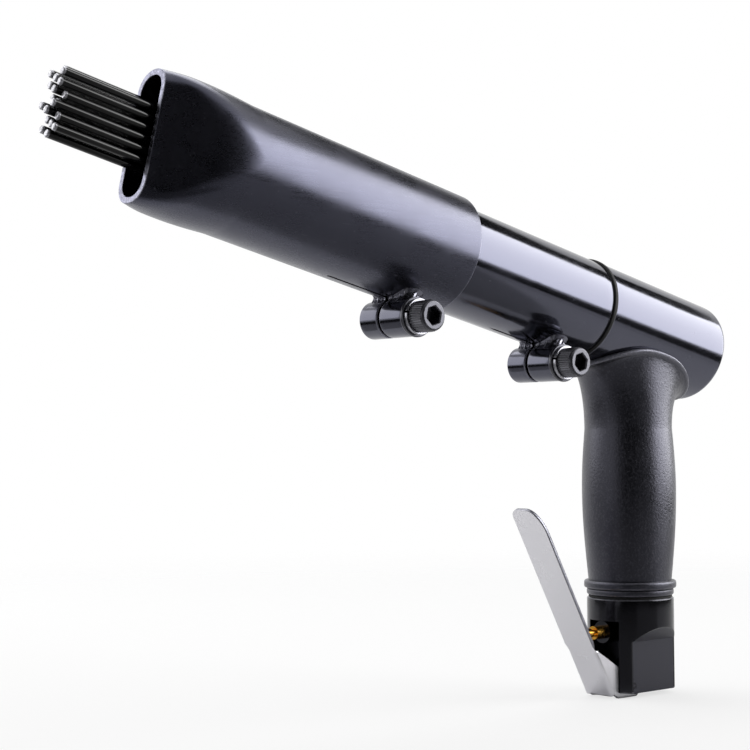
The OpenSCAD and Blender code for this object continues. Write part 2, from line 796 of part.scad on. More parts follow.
// The two lugs of a clamp with the welds that join them to a tube
module clamp_lugs(x, tube_r, end) {
    axis_z = -tube_r - lug_drop;
    near_y = clamp_y + slit_w / 2;
    far_y = clamp_y - slit_w / 2;
    weld = lug_r * weld_share;
    weld_far = far_lug * weld_reach_shares[0];
    weld_near = near_lug * weld_reach_shares[1];
    difference() {
        on_barrel(x) {
            translate([0, 0, axis_z]) {
                difference() {
                    side_bar(lug_r, near_y, near_y + near_lug);
                    side_bar(screw_d / 2 + rest_gap, near_y - over, near_y + near_lug + over);
                }
                difference() {
                    side_bar(lug_r, far_y - far_lug, far_y);
                    side_bar(screw_d / 2 + fit, far_y - far_lug - over, far_y + over);
                }
            }
            difference() {
                translate([-weld, far_y - weld_far, axis_z])
                    cube([2 * weld, weld_far + slit_w + weld_near, lug_drop * weld_rise_share]);
                translate([0, 0, axis_z])
                    side_bar(lug_r - fit, far_y - far_lug - over, near_y + near_lug + over);
                translate([-lug_d, far_y, axis_z - over]) cube([2 * lug_d, slit_w, lug_d + over]);
            }
        }
        bar(tube_r + fit, end - over, end + 4 * lug_d);
    }
}

// Socket-head clamp screw with a knurled head, lying along Y
module clamp_screw(x, tube_r) {
    seat = clamp_y + slit_w / 2 + near_lug + washer_t + spring_washer_t;
    end = clamp_y - slit_w / 2 - far_lug;
    head_r = screw_head_d / 2;
    bevel = screw_head_h / 12;
    ridges = 30;
    deep = bevel / 2;
    on_barrel(x) translate([0, 0, -tube_r - lug_drop]) difference() {
        union() {
            side_bar(screw_d / 2, end, seat);
            translate([0, seat, 0]) rotate([-90, 0, 0]) intersection() {
                linear_extrude(screw_head_h) polygon([for (i = [0:2 * ridges - 1])
                    let (r = i % 2 == 0 ? head_r : head_r - deep, a = 180 * i / ridges)
                    [r * cos(a), r * sin(a)]]);
                rotate_extrude() polygon([
                    [0, -over], [head_r + deep, -over], [head_r + deep, screw_head_h - bevel - deep],
                    [head_r - bevel, screw_head_h], [0, screw_head_h]]);
            }
        }
        translate([0, seat + screw_head_h * socket_floor_share, 0]) rotate([-90, 0, 0])
            linear_extrude(screw_head_h) hexagon(socket_w);
    }
}

// Flat washer on the near lug
module flat_washer(x, tube_r) {
    y = clamp_y + slit_w / 2 + near_lug;
    on_barrel(x) translate([0, 0, -tube_r - lug_drop]) difference() {
        side_bar(lug_r + washer_t / 4, y, y + washer_t);
        side_bar(screw_d / 2 + rest_gap, y - over, y + washer_t + over);
    }
}

// Split spring washer under the screw's head
module spring_washer(x, tube_r) {
    y = clamp_y + slit_w / 2 + near_lug + washer_t;
    outer = spring_washer_d / 2;
    on_barrel(x) translate([0, 0, -tube_r - lug_drop]) difference() {
        side_bar(outer, y, y + spring_washer_t);
        side_bar(screw_d / 2 + fit, y - over, y + spring_washer_t + over);
        translate([0, y - over, -rest_gap]) cube([outer + over, spring_washer_t + 2 * over, 2 * rest_gap]);
    }
}

// The lesser of two lengths, with a soft change from one to the other
function soft_min(a, b, soft) =
    let (reach = min(soft, a, b), blend = reach > 0 ? max(reach - abs(a - b), 0) / reach : 0)
    min(a, b) - blend * blend * reach / 4;

// Half the nozzle's width at a share t of its length: it leaves the sleeve without a corner,
// and meets the mouth at a gentle slope
function press_half(t, r, half) =
    let (steep = press_slope_share * nozzle_length / (r - half))
    half + (r - half) * (1 - (4 - steep) * pow(t, 3) + (3 - steep) * pow(t, 4));

// How softly the pressed sides run into the round top and bottom at a share t of the nozzle's length
function press_blend(t) = t * t * (press_soft + press_soft_middle * pow(1 - t, 2));

// A share of a quarter turn, moved towards its end
function crowded(s) = s + crowd_share * (sin(90 * s) - s);

// Angles round a ring, closer together towards its top and bottom
function ring_angles() =
    [for (quarter = [0:3]) for (k = [0:quarter_points - 1])
        let (s = (k + 1 / 2) / quarter_points)
        quarter % 2 == 0 ? 90 * (quarter + crowded(s)) : 90 * (quarter + 1 - crowded(1 - s))];

// A ring of the nozzle at a share t of its length:
// a circle whose sides are pressed in, with round ends at the mouth
function nozzle_ring(x, t, r, inset) =
    let (half = press_half(t, r, mouth_w / 2 - inset),
         top = r + (mouth_h / 2 - inset - r) * t + nozzle_swell * sin(180 * t),
         end_r = end_round_share * half * t * t)
    [for (a = ring_angles())
        let (z = top * sin(a),
             past = max(abs(z) - top + end_r, 0),
             flank = half - end_r + sqrt(max(end_r * end_r - past * past, 0)),
             pressed = flank * (1 - crown_share * pow(sin(a), 2)))
        [x, sign(cos(a)) * soft_min(abs(r * cos(a)), pressed, press_blend(t)), z]];

// The pressed nozzle as a solid, from inside the round sleeve to past its mouth
module nozzle(r, inset, past) {
    curve = [for (i = [0:nozzle_rings]) let (t = i / nozzle_rings)
        nozzle_ring(nozzle_start + t * nozzle_length, t, r, inset)];
    ends = past > 0 ? [nozzle_ring(front_end + past, 1, r, inset)] : [];
    on_barrel() loft(concat([nozzle_ring(nozzle_start - over, 0, r, inset)], curve, ends));
}

// Front tube: a round sleeve pressed flat at its mouth
module front_tube() {
    color([0.07, 0.07, 0.08]) difference() {
        union() {
            bar(front_r, front_start, nozzle_start);
            nozzle(front_r - nozzle_step, 0, 0);
        }
        bar(front_bore_r, front_start - over, nozzle_start);
        nozzle(front_bore_r - nozzle_step, mouth_wall, over);
        slit(front_start, front_slit, front_r);
    }
}

// Needle holder: a drilled disc that slides in the rear tube
module needle_holder() {
    color([0.5, 0.51, 0.53]) difference() {
        bar(holder_r, holder_start, holder_front);
        for (n = needle_places())
            on_barrel(holder_start - over) translate([0, n[0], n[1]]) rotate([0, 90, 0])
                cylinder(r = needle_r + fit, h = holder_t + 2 * over, $fn = facets);
    }
}

// Needles, each with a head behind the holder and a bevelled tip
module needles() {
    bevel = needle_r / 4;
    color([0.16, 0.16, 0.17]) for (n = needle_places()) {
        tip = needle_length - needle_wear * n[2] + needle_wear / 2;
        on_barrel(needle_start) translate([0, n[0], n[1]]) rotate([0, 90, 0]) rotate_extrude($fn = facets)
            polygon([
                [0, 0], [needle_head_d / 2, 0], [needle_head_d / 2, needle_head_t], [needle_r, needle_head_t],
                [needle_r, tip - bevel], [needle_r - bevel, tip], [0, tip]]);
    }
}

// Spring that pushes the needles back on to the anvil
module needle_spring() {
    rise = spring_end - spring_start - needle_wire;
    echo(str("needle spring least gap ",
        coil_gap(coil_line(spring_mean_r, rise, needle_curls), needle_wire)));
    color([0.3, 0.3, 0.32]) on_barrel(spring_start + needle_wire / 2) rotate([0, 90, 0])
        coil(spring_mean_r, needle_wire, rise, needle_curls);
}

pistol_body();
grip_sleeve();
head_ring();
block_seal();
valve_block();
inlet_screen();
throttle_bush();
stem_seal();
throttle_stem();
throttle_poppet();
throttle_spring();
valve_plug();
throttle_lever();
lever_pin();
valve_cap();
valve_disc();
valve_seat();
cylinder_node();  // cylinder
cylinder_seal();
piston();
anvil();
rear_tube();
color([0.08, 0.08, 0.09]) clamp_lugs(rear_clamp_x, rear_r, rear_start);  // rear_clamp_lugs
color([0.1, 0.1, 0.11]) clamp_screw(rear_clamp_x, rear_r);  // rear_clamp_screw
color([0.1, 0.1, 0.11]) flat_washer(rear_clamp_x, rear_r);  // rear_flat_washer
color([0.75, 0.75, 0.77]) spring_washer(rear_clamp_x, rear_r);  // rear_spring_washer
front_tube();
color([0.08, 0.08, 0.09]) clamp_lugs(front_clamp_x, front_r, front_start);  // front_clamp_lugs
color([0.1, 0.1, 0.11]) clamp_screw(front_clamp_x, front_r);  // front_clamp_screw
color([0.1, 0.1, 0.11]) flat_washer(front_clamp_x, front_r);  // front_flat_washer
color([0.75, 0.75, 0.77]) spring_washer(front_clamp_x, front_r);  // front_spring_washer
needle_holder();
needles();
needle_spring();
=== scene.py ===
"""Needle scaler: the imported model's frame, dressed piece by piece with worked-out surfaces and finishes."""

import logging
import math
from dataclasses import dataclass, field
from enum import Enum

import bmesh
import bpy
import numpy as np
from mathutils import Matrix, Vector
from mathutils.geometry import tessellate_polygon


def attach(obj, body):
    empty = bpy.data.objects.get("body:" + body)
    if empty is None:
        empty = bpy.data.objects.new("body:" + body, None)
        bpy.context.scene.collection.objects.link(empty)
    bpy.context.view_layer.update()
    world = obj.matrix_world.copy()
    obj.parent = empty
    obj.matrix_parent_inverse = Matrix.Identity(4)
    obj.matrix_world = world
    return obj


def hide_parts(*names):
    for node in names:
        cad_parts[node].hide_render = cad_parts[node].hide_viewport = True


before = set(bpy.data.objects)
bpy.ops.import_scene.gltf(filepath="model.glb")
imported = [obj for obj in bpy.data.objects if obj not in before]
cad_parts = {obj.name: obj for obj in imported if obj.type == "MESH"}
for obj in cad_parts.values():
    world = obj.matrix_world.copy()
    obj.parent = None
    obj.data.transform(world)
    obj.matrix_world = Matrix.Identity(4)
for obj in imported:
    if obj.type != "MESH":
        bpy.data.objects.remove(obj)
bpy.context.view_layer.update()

log = logging.getLogger("needle_scaler")

Array = np.ndarray
Pair = tuple[float, float]
Triple = tuple[float, float, float]
Colour = tuple[float, float, float, float]
Piece = bpy.types.Object
Socket = bpy.types.NodeSocket
Tree = bpy.types.NodeTree

MM = 0.001
TURN = 2 * math.pi
QUARTER = math.pi / 2
BARREL_PITCH = math.radians(13.0)
BARREL_HEIGHT = 165.0
HEAD_RADIUS = 23.1
REAR_TUBE = 22.75
FRONT_TUBE = 25.85
PIN_X = 13.3
PIN_Z = 3.7
CLAMP_Y = 0.9
SLIT = 1.5
NEAR_LIP = CLAMP_Y + SLIT / 2
FAR_LIP = CLAMP_Y - SLIT / 2
# Points of a shell that are closer than this, in metres, are welded
WELD_REACH = 2e-6
# Half width of the seam that goes on where a tube's slit has ended, in millimetres
SEAM = 1e-4


# Shapes


def stacked(*coordinates: Array | float) -> Array:
    """Spread coordinates over one another's shapes and join them into points."""
    return np.stack(np.broadcast_arrays(*coordinates), axis=-1)


def on_barrel(along: Array, across: Array, up: Array) -> Array:
    """Turn places along the barrel, left of it and up from its axis into points of the row frame, in millimetres."""
    c, s = math.cos(BARREL_PITCH), math.sin(BARREL_PITCH)
    return stacked(along * c - up * s, across, along * s + up * c + BARREL_HEIGHT)


def smooth(low: float, high: float, value: Array) -> Array:
    """Ease from 0 at low to 1 at high with the curve 3t^2 - 2t^3."""
    t = np.clip((value - low) / (high - low), 0.0, 1.0)
    return t * t * (3.0 - 2.0 * t)


def rounded(corners: list[Triple], steps: int = 6, most: float = 0.48) -> tuple[Array, Array]:
    """Draw a profile whose corners are eased by short quadratic curves.

    Args:
        corners: (first coordinate, second coordinate, trim length) of each corner; a trim of zero stays sharp.
        steps: Points on each eased corner.
        most: Largest share of a run that a trim may take.

    Returns:
        The profile's points, and for each point an edge value that is 1 in the middle of an eased corner.
    """
    points = np.array([c[:2] for c in corners], float)
    parts, edges = [], []
    for i, (_, _, trim) in enumerate(corners):
        if trim <= 0 or i in (0, len(corners) - 1):
            parts.append(points[i : i + 1])
            edges.append(np.zeros(1))
            continue
        back, ahead = points[i - 1] - points[i], points[i + 1] - points[i]
        start = points[i] + back * min(trim / np.linalg.norm(back), most)
        end = points[i] + ahead * min(trim / np.linalg.norm(ahead), most)
        t = np.linspace(0.0, 1.0, steps)[:, None]
        parts.append((1 - t) ** 2 * start + 2 * t * (1 - t) * points[i] + t**2 * end)
        edges.append(np.sin(math.pi * t[:, 0]))
    return np.concatenate(parts), np.concatenate(edges)


def band(faces: Pair, radii: Pair, outer: float, inner: float) -> tuple[Array, Array]:
    """Section of a ring as rounded() gives it, from its faces, its radii and its outer and inner trims."""
    (start, end), (bore, radius) = faces, radii
    return rounded(
        [(start, bore, 0.0), (start, radius, outer), (end, radius, outer), (end, bore, inner), (start, bore, 0.0)]
    )


def refined(profile: Array, edge: Array, longest: float = 6.0) -> tuple[Array, Array]:
    """Split the long runs of a profile into equal steps, so that reflections stay even.

    Args:
        profile: Points of shape (points, 2).
        edge: Edge value of each point.
        longest: Longest step that stays, in millimetres.

    Returns:
        The finer profile and its edge values.
    """
    length = np.linalg.norm(np.diff(profile, axis=0), axis=1)
    pieces = np.maximum(1, np.ceil(length / longest)).astype(int)
    source = np.concatenate([i + np.arange(n) / n for i, n in enumerate(pieces)] + [[len(pieces)]])
    place, radius, fine_edge = (np.interp(source, np.arange(len(edge)), row) for row in (*profile.T, edge))
    return stacked(place, radius), fine_edge


class Axis(Enum):
    """The line that a turned piece spins about."""

    BARREL = "barrel"
    HANDLE = "handle"
    CROSSWAYS = "crossways"


def turn(profile: Array, axis: Axis, segments: int, centre: Pair = (0.0, 0.0), gap: float = 0.0) -> Array:
    """Spin a profile about an axis: each row is one profile point, each column one angle.

    Args:
        profile: (place along the axis, radius) of each point, in millimetres, or a radius for each column.
        axis: The axis to spin about; a crossways axis runs along Y below the barrel.
        segments: Columns round the turn.
        centre: Where the axis crosses the barrel's section, or for a crossways axis its place along the barrel
            and its height.
        gap: Angle that stays open on each side of the start, in radians.

    Returns:
        Points of shape (rows, segments, 3) in the row frame.
    """
    angle = np.linspace(gap, TURN - gap, segments, endpoint=gap > 0)
    place, radius = profile[:, :1], profile[:, 1:]
    across, up = radius * np.cos(angle) + centre[0], radius * np.sin(angle) + centre[1]
    if axis is Axis.HANDLE:
        return stacked(across, up, place)
    return on_barrel(place, across, up) if axis is Axis.BARREL else on_barrel(across, place, up)


def quads(index: Array, closed: bool = False) -> list[list[int]]:
    """Faces between neighbours in a grid of point numbers, whose last column may join the first."""
    if closed:
        index = np.concatenate([index, index[:, :1]], axis=1)
    corners = [index[:-1, :-1], index[:-1, 1:], index[1:, 1:], index[1:, :-1]]
    return np.stack(corners, axis=-1).reshape(-1, 4).tolist()


def mesh_of(name: str, points: Array, faces: list) -> bpy.types.Mesh:
    """Make a mesh from points in metres and faces."""
    mesh = bpy.data.meshes.new(name)
    mesh.from_pydata(points.reshape(-1, 3).tolist(), [], faces)
    return mesh


def linked(name: str, data: bpy.types.ID) -> Piece:
    """Make an object of this data and put it in the scene."""
    made = bpy.data.objects.new(name, data)
    bpy.context.scene.collection.objects.link(made)
    return made


@dataclass
class Shell:
    """Surface patches that are welded into one mesh."""

    points: list[Array] = field(default_factory=list)
    edge: list[Array] = field(default_factory=list)
    satin: list[Array] = field(default_factory=list)
    faces: list[list[int]] = field(default_factory=list)
    count: int = 0

    def _store(self, points: Array, edge: Array | float) -> None:
        """Keep flat arrays of a patch's points and of its edge and satin values."""
        self.points.append(points)
        self.edge.append(np.broadcast_to(edge, points.shape[:1]))
        self.satin.append(np.zeros(len(points)))
        self.count += len(points)

    def grid(self, points: Array, edge: Array | float = 0.0, closed: bool = False) -> "Shell":
        """Add a patch whose points lie on a grid of rows and columns.

        Args:
            points: Array of shape (rows, columns, 3), in millimetres.
            edge: Edge value of each row, of each point, or of all.
            closed: Whether the last column joins the first.

        Returns:
            The shell, so that calls can be chained.
        """
        size = points.shape[:2]
        value = np.asarray(edge, float)
        value = np.broadcast_to(value[:, None] if value.ndim == 1 else value, size)
        self.faces += quads(np.arange(self.count, self.count + value.size).reshape(size), closed)
        self._store(points.reshape(-1, 3), value.reshape(-1))
        return self

    def plate(self, *loops: Array) -> "Shell":
        """Add a flat face: its outline and then any holes, each an array of shape (points, 3)."""
        triangles = tessellate_polygon([[Vector(p) for p in loop.tolist()] for loop in loops])
        self.faces += (np.array(triangles) + self.count).tolist()
        self._store(np.concatenate(loops), 0.0)
        return self

    def build(
        self, name: str, finish: "Finish", body: str, nodes: tuple[str, ...], slot: str, crease: float = 38.0
    ) -> Piece:
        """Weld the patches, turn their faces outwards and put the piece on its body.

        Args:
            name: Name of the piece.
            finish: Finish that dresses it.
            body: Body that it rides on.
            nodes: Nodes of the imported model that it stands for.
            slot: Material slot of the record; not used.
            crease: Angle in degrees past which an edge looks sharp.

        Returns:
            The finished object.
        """
        mesh = mesh_of(name, np.concatenate(self.points) * MM, self.faces)
        for key, values in (("edge", self.edge), ("satin", self.satin)):
            layer = mesh.attributes.new(key, "FLOAT", "POINT")
            layer.data.foreach_set("value", np.concatenate(values))
        weld = bmesh.new()
        weld.from_mesh(mesh)
        bmesh.ops.remove_doubles(weld, verts=weld.verts[:], dist=WELD_REACH)
        bmesh.ops.recalc_face_normals(weld, faces=weld.faces[:])
        weld.to_mesh(mesh)
        weld.free()
        mesh.shade_smooth()
        mesh.set_sharp_from_angle(angle=math.radians(crease))
        piece = linked(name, mesh)
        mesh.materials.append(finish.material())
        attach(piece, body)
        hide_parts(*nodes)
        return piece


# Finishes


def linear(code: str) -> Colour:
    """Turn an sRGB hex colour into linear red, green, blue and alpha."""
    srgb = np.array([int(code[i : i + 2], 16) for i in (1, 3, 5)]) / 255.0
    value = np.where(srgb <= 0.04045, srgb / 12.92, ((srgb + 0.055) / 1.055) ** 2.4)
    return (*value.tolist(), 1.0)


def grey(value: float) -> Colour:
    """A linear grey of this brightness."""
    return (value, value, value, 1.0)


def per_mm(size: float) -> float:
    """Scale of a texture whose features are about this many millimetres apart."""
    return 1000.0 / size


def span(low: float, high: float, start: float = 0.0, end: float = 1.0) -> dict[str, float]:
    """Settings of a range that takes low to start and high to end."""
    return {"From Min": low, "From Max": high, "To Min": start, "To Max": end}


def blank(kind: bpy.types.bpy_prop_collection, name: str) -> tuple[bpy.types.ID, Tree]:
    """Make a material or a world with an empty node tree."""
    made = kind.new(name)
    made.use_nodes = True
    made.node_tree.nodes.clear()
    return made, made.node_tree


def add(tree: Tree, kind: str, settings: dict | None = None, out: int | str = 0, **links: Socket) -> Socket | None:
    """Add a node with its settings and links.

    Args:
        tree: Tree that gets the node.
        kind: Node type, without the words that all shader nodes start with.
        settings: Values of its properties or, by name or number, of its input sockets.
        out: Output socket to return, by name or number.
        **links: Output sockets by the name of the input that they feed; an underscore stands for a space.

    Returns:
        The output socket, or nothing from a node that ends its tree.
    """
    node = tree.nodes.new(f"ShaderNode{kind}")
    for key, value in (settings or {}).items():
        if isinstance(key, str) and hasattr(node, key):
            setattr(node, key, value)
        else:
            node.inputs[key].default_value = value
    for key, output in links.items():
        name = key.replace("_", " ")
        tree.links.new(output, node.inputs[int(key[1:]) if key[1:].isdigit() else name])
    return node.outputs[out] if node.outputs else None


# Broad patches of a finish: their size in grains, and the noise levels where they begin and are full
PATCH_GRAINS = 14.0
PATCH_STOPS = (0.35, 0.7)
# Noise levels of the lowest and the highest roughness
ROUGH_STOPS = (0.7, 1.3)
# How the fine pattern makes the rubbing of edges uneven
RUBBED = span(0.3, 0.65, 0.35, 1.2)
SPECKLE_STOPS = (0.5, 0.68)
# Specks of about 0.3 mm, a few millimetres apart
SPECK_PITCH = 4.2
SPECK_STOPS = (0.04, 0.11)
# Scratches at two angles to the barrel: finer than a pixel, so they are drawn about 0.4 mm wide
SCRATCH_ANGLES = (0.35, -0.8)
SCRATCH_SIZE = 1.4
SCRATCH_STRETCH = 30.0
SCRATCH_STOPS = (0.68, 0.76)


@dataclass(frozen=True)
class Finish:
    """A finish: a common material and how its surface was made.

    Attributes:
        name: Name of the material.
        colour: Main colour.
        second: Colour of worn edges, specks and scratches.
        metallic: Metallic share of the main surface.
        rough: Lowest and highest roughness.
        ior: Refractive index.
        tint: Colour of a non-metal's reflection seen straight on.
        grain: Size of its fine pattern in millimetres.
        stretch: How much longer the fine pattern is along the barrel than across it.
        bump: Height of the fine pattern's relief in millimetres.
        mottle: Share of the second colour in its broad, soft patches.
        worn: Metallic share and roughness of places where the edge value is 1.
        specks: Strength of its small light specks.
        scratches: Strength of its fine scratches.
        speckle: Share of the second colour on the high spots of its fine pattern.
        satin: Colour and roughness where the satin value is 1, if it has such places.
    """

    name: str
    colour: str
    second: str
    metallic: float = 0.0
    rough: Pair = (0.3, 0.4)
    ior: float = 1.5
    tint: str = "#ffffff"
    grain: float = 2.0
    stretch: float = 1.0
    bump: float = 0.01
    mottle: float = 0.02
    worn: Pair = (1.0, 0.3)
    specks: float = 0.0
    scratches: float = 0.0
    speckle: float = 0.0
    satin: tuple[str, float] | None = None

    def material(self) -> bpy.types.Material:
        """Make the material once, and return it to every piece that has this finish."""
        found = bpy.data.materials.get(self.name)
        if found:
            return found
        made, tree = blank(bpy.data.materials, self.name)
        place = add(tree, "TexCoord", out="Object")
        fine = self._streaks(tree, place, self.grain, self.stretch)
        coarse = {"Scale": per_mm(self.grain * PATCH_GRAINS), "Detail": 3.0}
        broad = add(tree, "TexNoise", coarse, Vector=place)
        wear = self._wear(tree, place, fine)
        base, light = linear(self.colour), linear(self.second)
        patch = tuple(a + self.mottle * (b - a) for a, b in zip(base, light))
        colour = add(tree, "ValToRGB", Fac=broad)
        for stop, at, shade in zip(colour.node.color_ramp.elements, PATCH_STOPS, (base, patch)):
            stop.position, stop.color = at, shade
        both = add(tree, "Math", {"operation": "ADD"}, _0=fine, _1=broad)
        dull = add(tree, "MapRange", span(*ROUGH_STOPS, *self.rough), Value=both)
        looks = [(wear, light, self.worn[1])]
        if self.satin:
            milled = add(tree, "Attribute", {"attribute_name": "satin"}, "Fac")
            looks.append((milled, linear(self.satin[0]), self.satin[1]))
        for share, shade, rough in looks:
            colour = add(tree, "Mix", {"data_type": "RGBA", 7: shade}, 2, _0=share, _6=colour)
            dull = add(tree, "Mix", {"data_type": "FLOAT", 3: rough}, _0=share, _2=dull)
        relief = add(tree, "Bump", {"Strength": 1.0, "Distance": self.bump * MM}, Height=fine)
        links = {"Base_Color": colour, "Roughness": dull, "Normal": relief}
        if self.worn[0] != self.metallic:
            bare = span(0.0, 1.0, self.metallic, self.worn[0])
            links["Metallic"] = add(tree, "MapRange", bare, Value=wear)
        fixed = {"IOR": self.ior, "Metallic": self.metallic, "Specular Tint": linear(self.tint)}
        add(tree, "OutputMaterial", Surface=add(tree, "BsdfPrincipled", fixed, **links))
        return made

    @staticmethod
    def _streaks(tree: Tree, place: Socket, size: float, stretch: float, turned: float = 0.0) -> Socket:
        """Noise of a size in millimetres, drawn out by a stretch along a line that is turned from the barrel's."""
        lie = {"Rotation": (0.0, BARREL_PITCH + turned, 0.0), "Scale": (1.0 / stretch, 1.0, 1.0)}
        noise = {"Scale": per_mm(size), "Detail": 4.0, "Roughness": 0.6}
        return add(tree, "TexNoise", noise, Vector=add(tree, "Mapping", lie, Vector=place))

    def _wear(self, tree: Tree, place: Socket, fine: Socket) -> Socket:
        """Where the surface is rubbed bare: its edges, unevenly along them, and any specks and scratches.

        Args:
            tree: Tree that gets the nodes.
            place: Socket with the place in the object.
            fine: Socket of the fine pattern, which makes the rubbing uneven.

        Returns:
            The wear's socket, from 0 to 1.
        """
        edge = add(tree, "Attribute", {"attribute_name": "edge"}, "Fac")
        uneven = add(tree, "MapRange", RUBBED, Value=fine)
        wear = add(tree, "Math", {"operation": "MULTIPLY", "use_clamp": True}, _0=edge, _1=uneven)
        layers = []
        if self.speckle:
            layers.append((fine, span(*SPECKLE_STOPS, 0.0, self.speckle)))
        # Put a piece of the studio in place.
        if self.specks:
            dots = add(tree, "TexVoronoi", {"Scale": per_mm(SPECK_PITCH)}, Vector=place)
            layers.append((dots, span(*SPECK_STOPS, self.specks, 0.0)))
        for turned in SCRATCH_ANGLES if self.scratches else ():
            line = self._streaks(tree, place, SCRATCH_SIZE, SCRATCH_STRETCH, turned)
            layers.append((line, span(*SCRATCH_STOPS, 0.0, self.scratches)))
        for pattern, limits in layers:
            layer = add(tree, "MapRange", limits, Value=pattern)
            wear = add(tree, "Math", {"operation": "MAXIMUM"}, _0=wear, _1=layer)
        return wear


# Drawn steel tube, blacked in hot salts and oiled: a soft deep black with a cool reflection, faint draw lines
# along the tube, a few scratches and bare bright edges. Magnetite, the black layer, bends light strongly.
BLACKED_TUBE = Finish(
    "blacked_drawn_steel_tube", "#08080a", "#b4b4c2", rough=(0.24, 0.33), ior=1.9, tint="#d4d6f6", grain=1.0,
    stretch=16.0, bump=0.0015, mottle=0.006, specks=0.07, scratches=0.1,
)
# The same steel, ground before blacking: a harder, mirror-like black with sharp reflections
BLACKED_GROUND = Finish(
    "blacked_ground_steel", "#070709", "#b4b4c2", rough=(0.1, 0.16), ior=1.95, tint="#d8daf6", grain=1.6,
    stretch=5.0, bump=0.0008, mottle=0.004, specks=0.12, scratches=0.1,
)
# Moulded nitrile rubber: soft black without gloss, a fine even grain, and a lighter grey painted along its lips as a
# highlight.
# The mould's grain of about 0.25 mm is too fine to show, so it is drawn about 1 mm apart.
MOULDED_RUBBER = Finish(
    "moulded_nitrile_rubber", "#040405", "#8a8a94", rough=(0.27, 0.42), ior=1.72, tint="#dcdcf2", grain=1.0,
    bump=0.13, mottle=0.003, worn=(0.0, 0.26), speckle=0.08,
)
# Moulded seal rubber: plain dark rubber, smoother than the grip
SEAL_RUBBER = Finish(
    "moulded_seal_rubber", "#030303", "#55555c", rough=(0.6, 0.75), ior=1.35, grain=0.6, bump=0.008, worn=(0.0, 0.5)
)
# Turned and milled steel block, gloss blacked: a wet black body, satin grey where the spanner flats were milled
BLACKED_BLOCK = Finish(
    "gloss_blacked_milled_steel", "#040405", "#b0b0ba", rough=(0.12, 0.2), ior=1.42, tint="#e4e4f4", grain=1.2,
    bump=0.0008, mottle=0.004, satin=("#2c2c33", 0.42),
)
# Zinc plated pressed sheet: bright cool metal with a faint lengthwise brushing
PLATED_SHEET = Finish(
    "zinc_plated_pressed_sheet", "#dbdadf", "#e6e6ea", metallic=1.0, rough=(0.2, 0.28), grain=0.7, stretch=6.0,
    bump=0.0006, mottle=0.12, worn=(1.0, 0.2), scratches=0.15,
)
# Sheared edge of the same sheet: a thin darker line round the bright face
SHEARED_EDGE = Finish(
    "sheared_sheet_edge", "#8c8c95", "#b4b4bc", metallic=1.0, rough=(0.3, 0.42), grain=0.6, bump=0.002, mottle=0.1
)
# Turned brass: warm yellow metal with fine turning marks
TURNED_BRASS = Finish(
    "turned_brass", "#c08d36", "#e8c878", metallic=1.0, rough=(0.18, 0.3), grain=0.5, bump=0.002, mottle=0.2,
    worn=(1.0, 0.2),
)
# Cold headed and knurled screw steel, black oxide: dark grey, with brighter ridges and face edges
BLACK_SCREW = Finish(
    "black_oxide_knurled_screw", "#0b0b0d", "#9a9aa2", rough=(0.25, 0.36), ior=1.7, tint="#e4e4f4", grain=0.8,
    bump=0.003, worn=(1.0, 0.32), specks=0.1,
)
# Stamped washer steel, zinc plated: a bright thin ring
BRIGHT_STEEL = Finish(
    "zinc_plated_washer_steel", "#85858c", "#dcdce2", metallic=1.0, rough=(0.22, 0.34), grain=0.6, bump=0.002,
    mottle=0.2, worn=(1.0, 0.2),
)
# Arc weld, blacked over: lumpy and wet looking; its silvery ripples are highlights painted on the crests of its lumps
ARC_WELD = Finish(
    "blacked_arc_weld", "#08080a", "#a6a6b0", rough=(0.1, 0.2), ior=2.1, tint="#dcdcf4", grain=1.1, bump=0.05,
    mottle=0.05, worn=(1.0, 0.25), specks=0.5,
)
# Hard drawn needle wire, blacked: black rods with sharp light lines and pale beaten tips
NEEDLE_WIRE = Finish(
    "blacked_needle_wire", "#030303", "#cfcfd6", rough=(0.04, 0.08), ior=1.42, grain=0.6, stretch=10.0, bump=0.001,
    mottle=0.004, worn=(1.0, 0.35),
)
# Machined alloy steel of the inner parts: grey metal with turning marks
MACHINED_STEEL = Finish(
    "machined_alloy_steel", "#8b8c91", "#c6c7cb", metallic=1.0, rough=(0.25, 0.38), grain=0.8, bump=0.003,
    mottle=0.2, worn=(1.0, 0.22),
)
# Oil tempered spring wire: dark grey metal
SPRING_WIRE = Finish(
    "oil_tempered_spring_wire", "#4a4a50", "#8f8f96", metallic=1.0, rough=(0.3, 0.42), grain=0.7, bump=0.002,
    mottle=0.2,
)


# Pieces


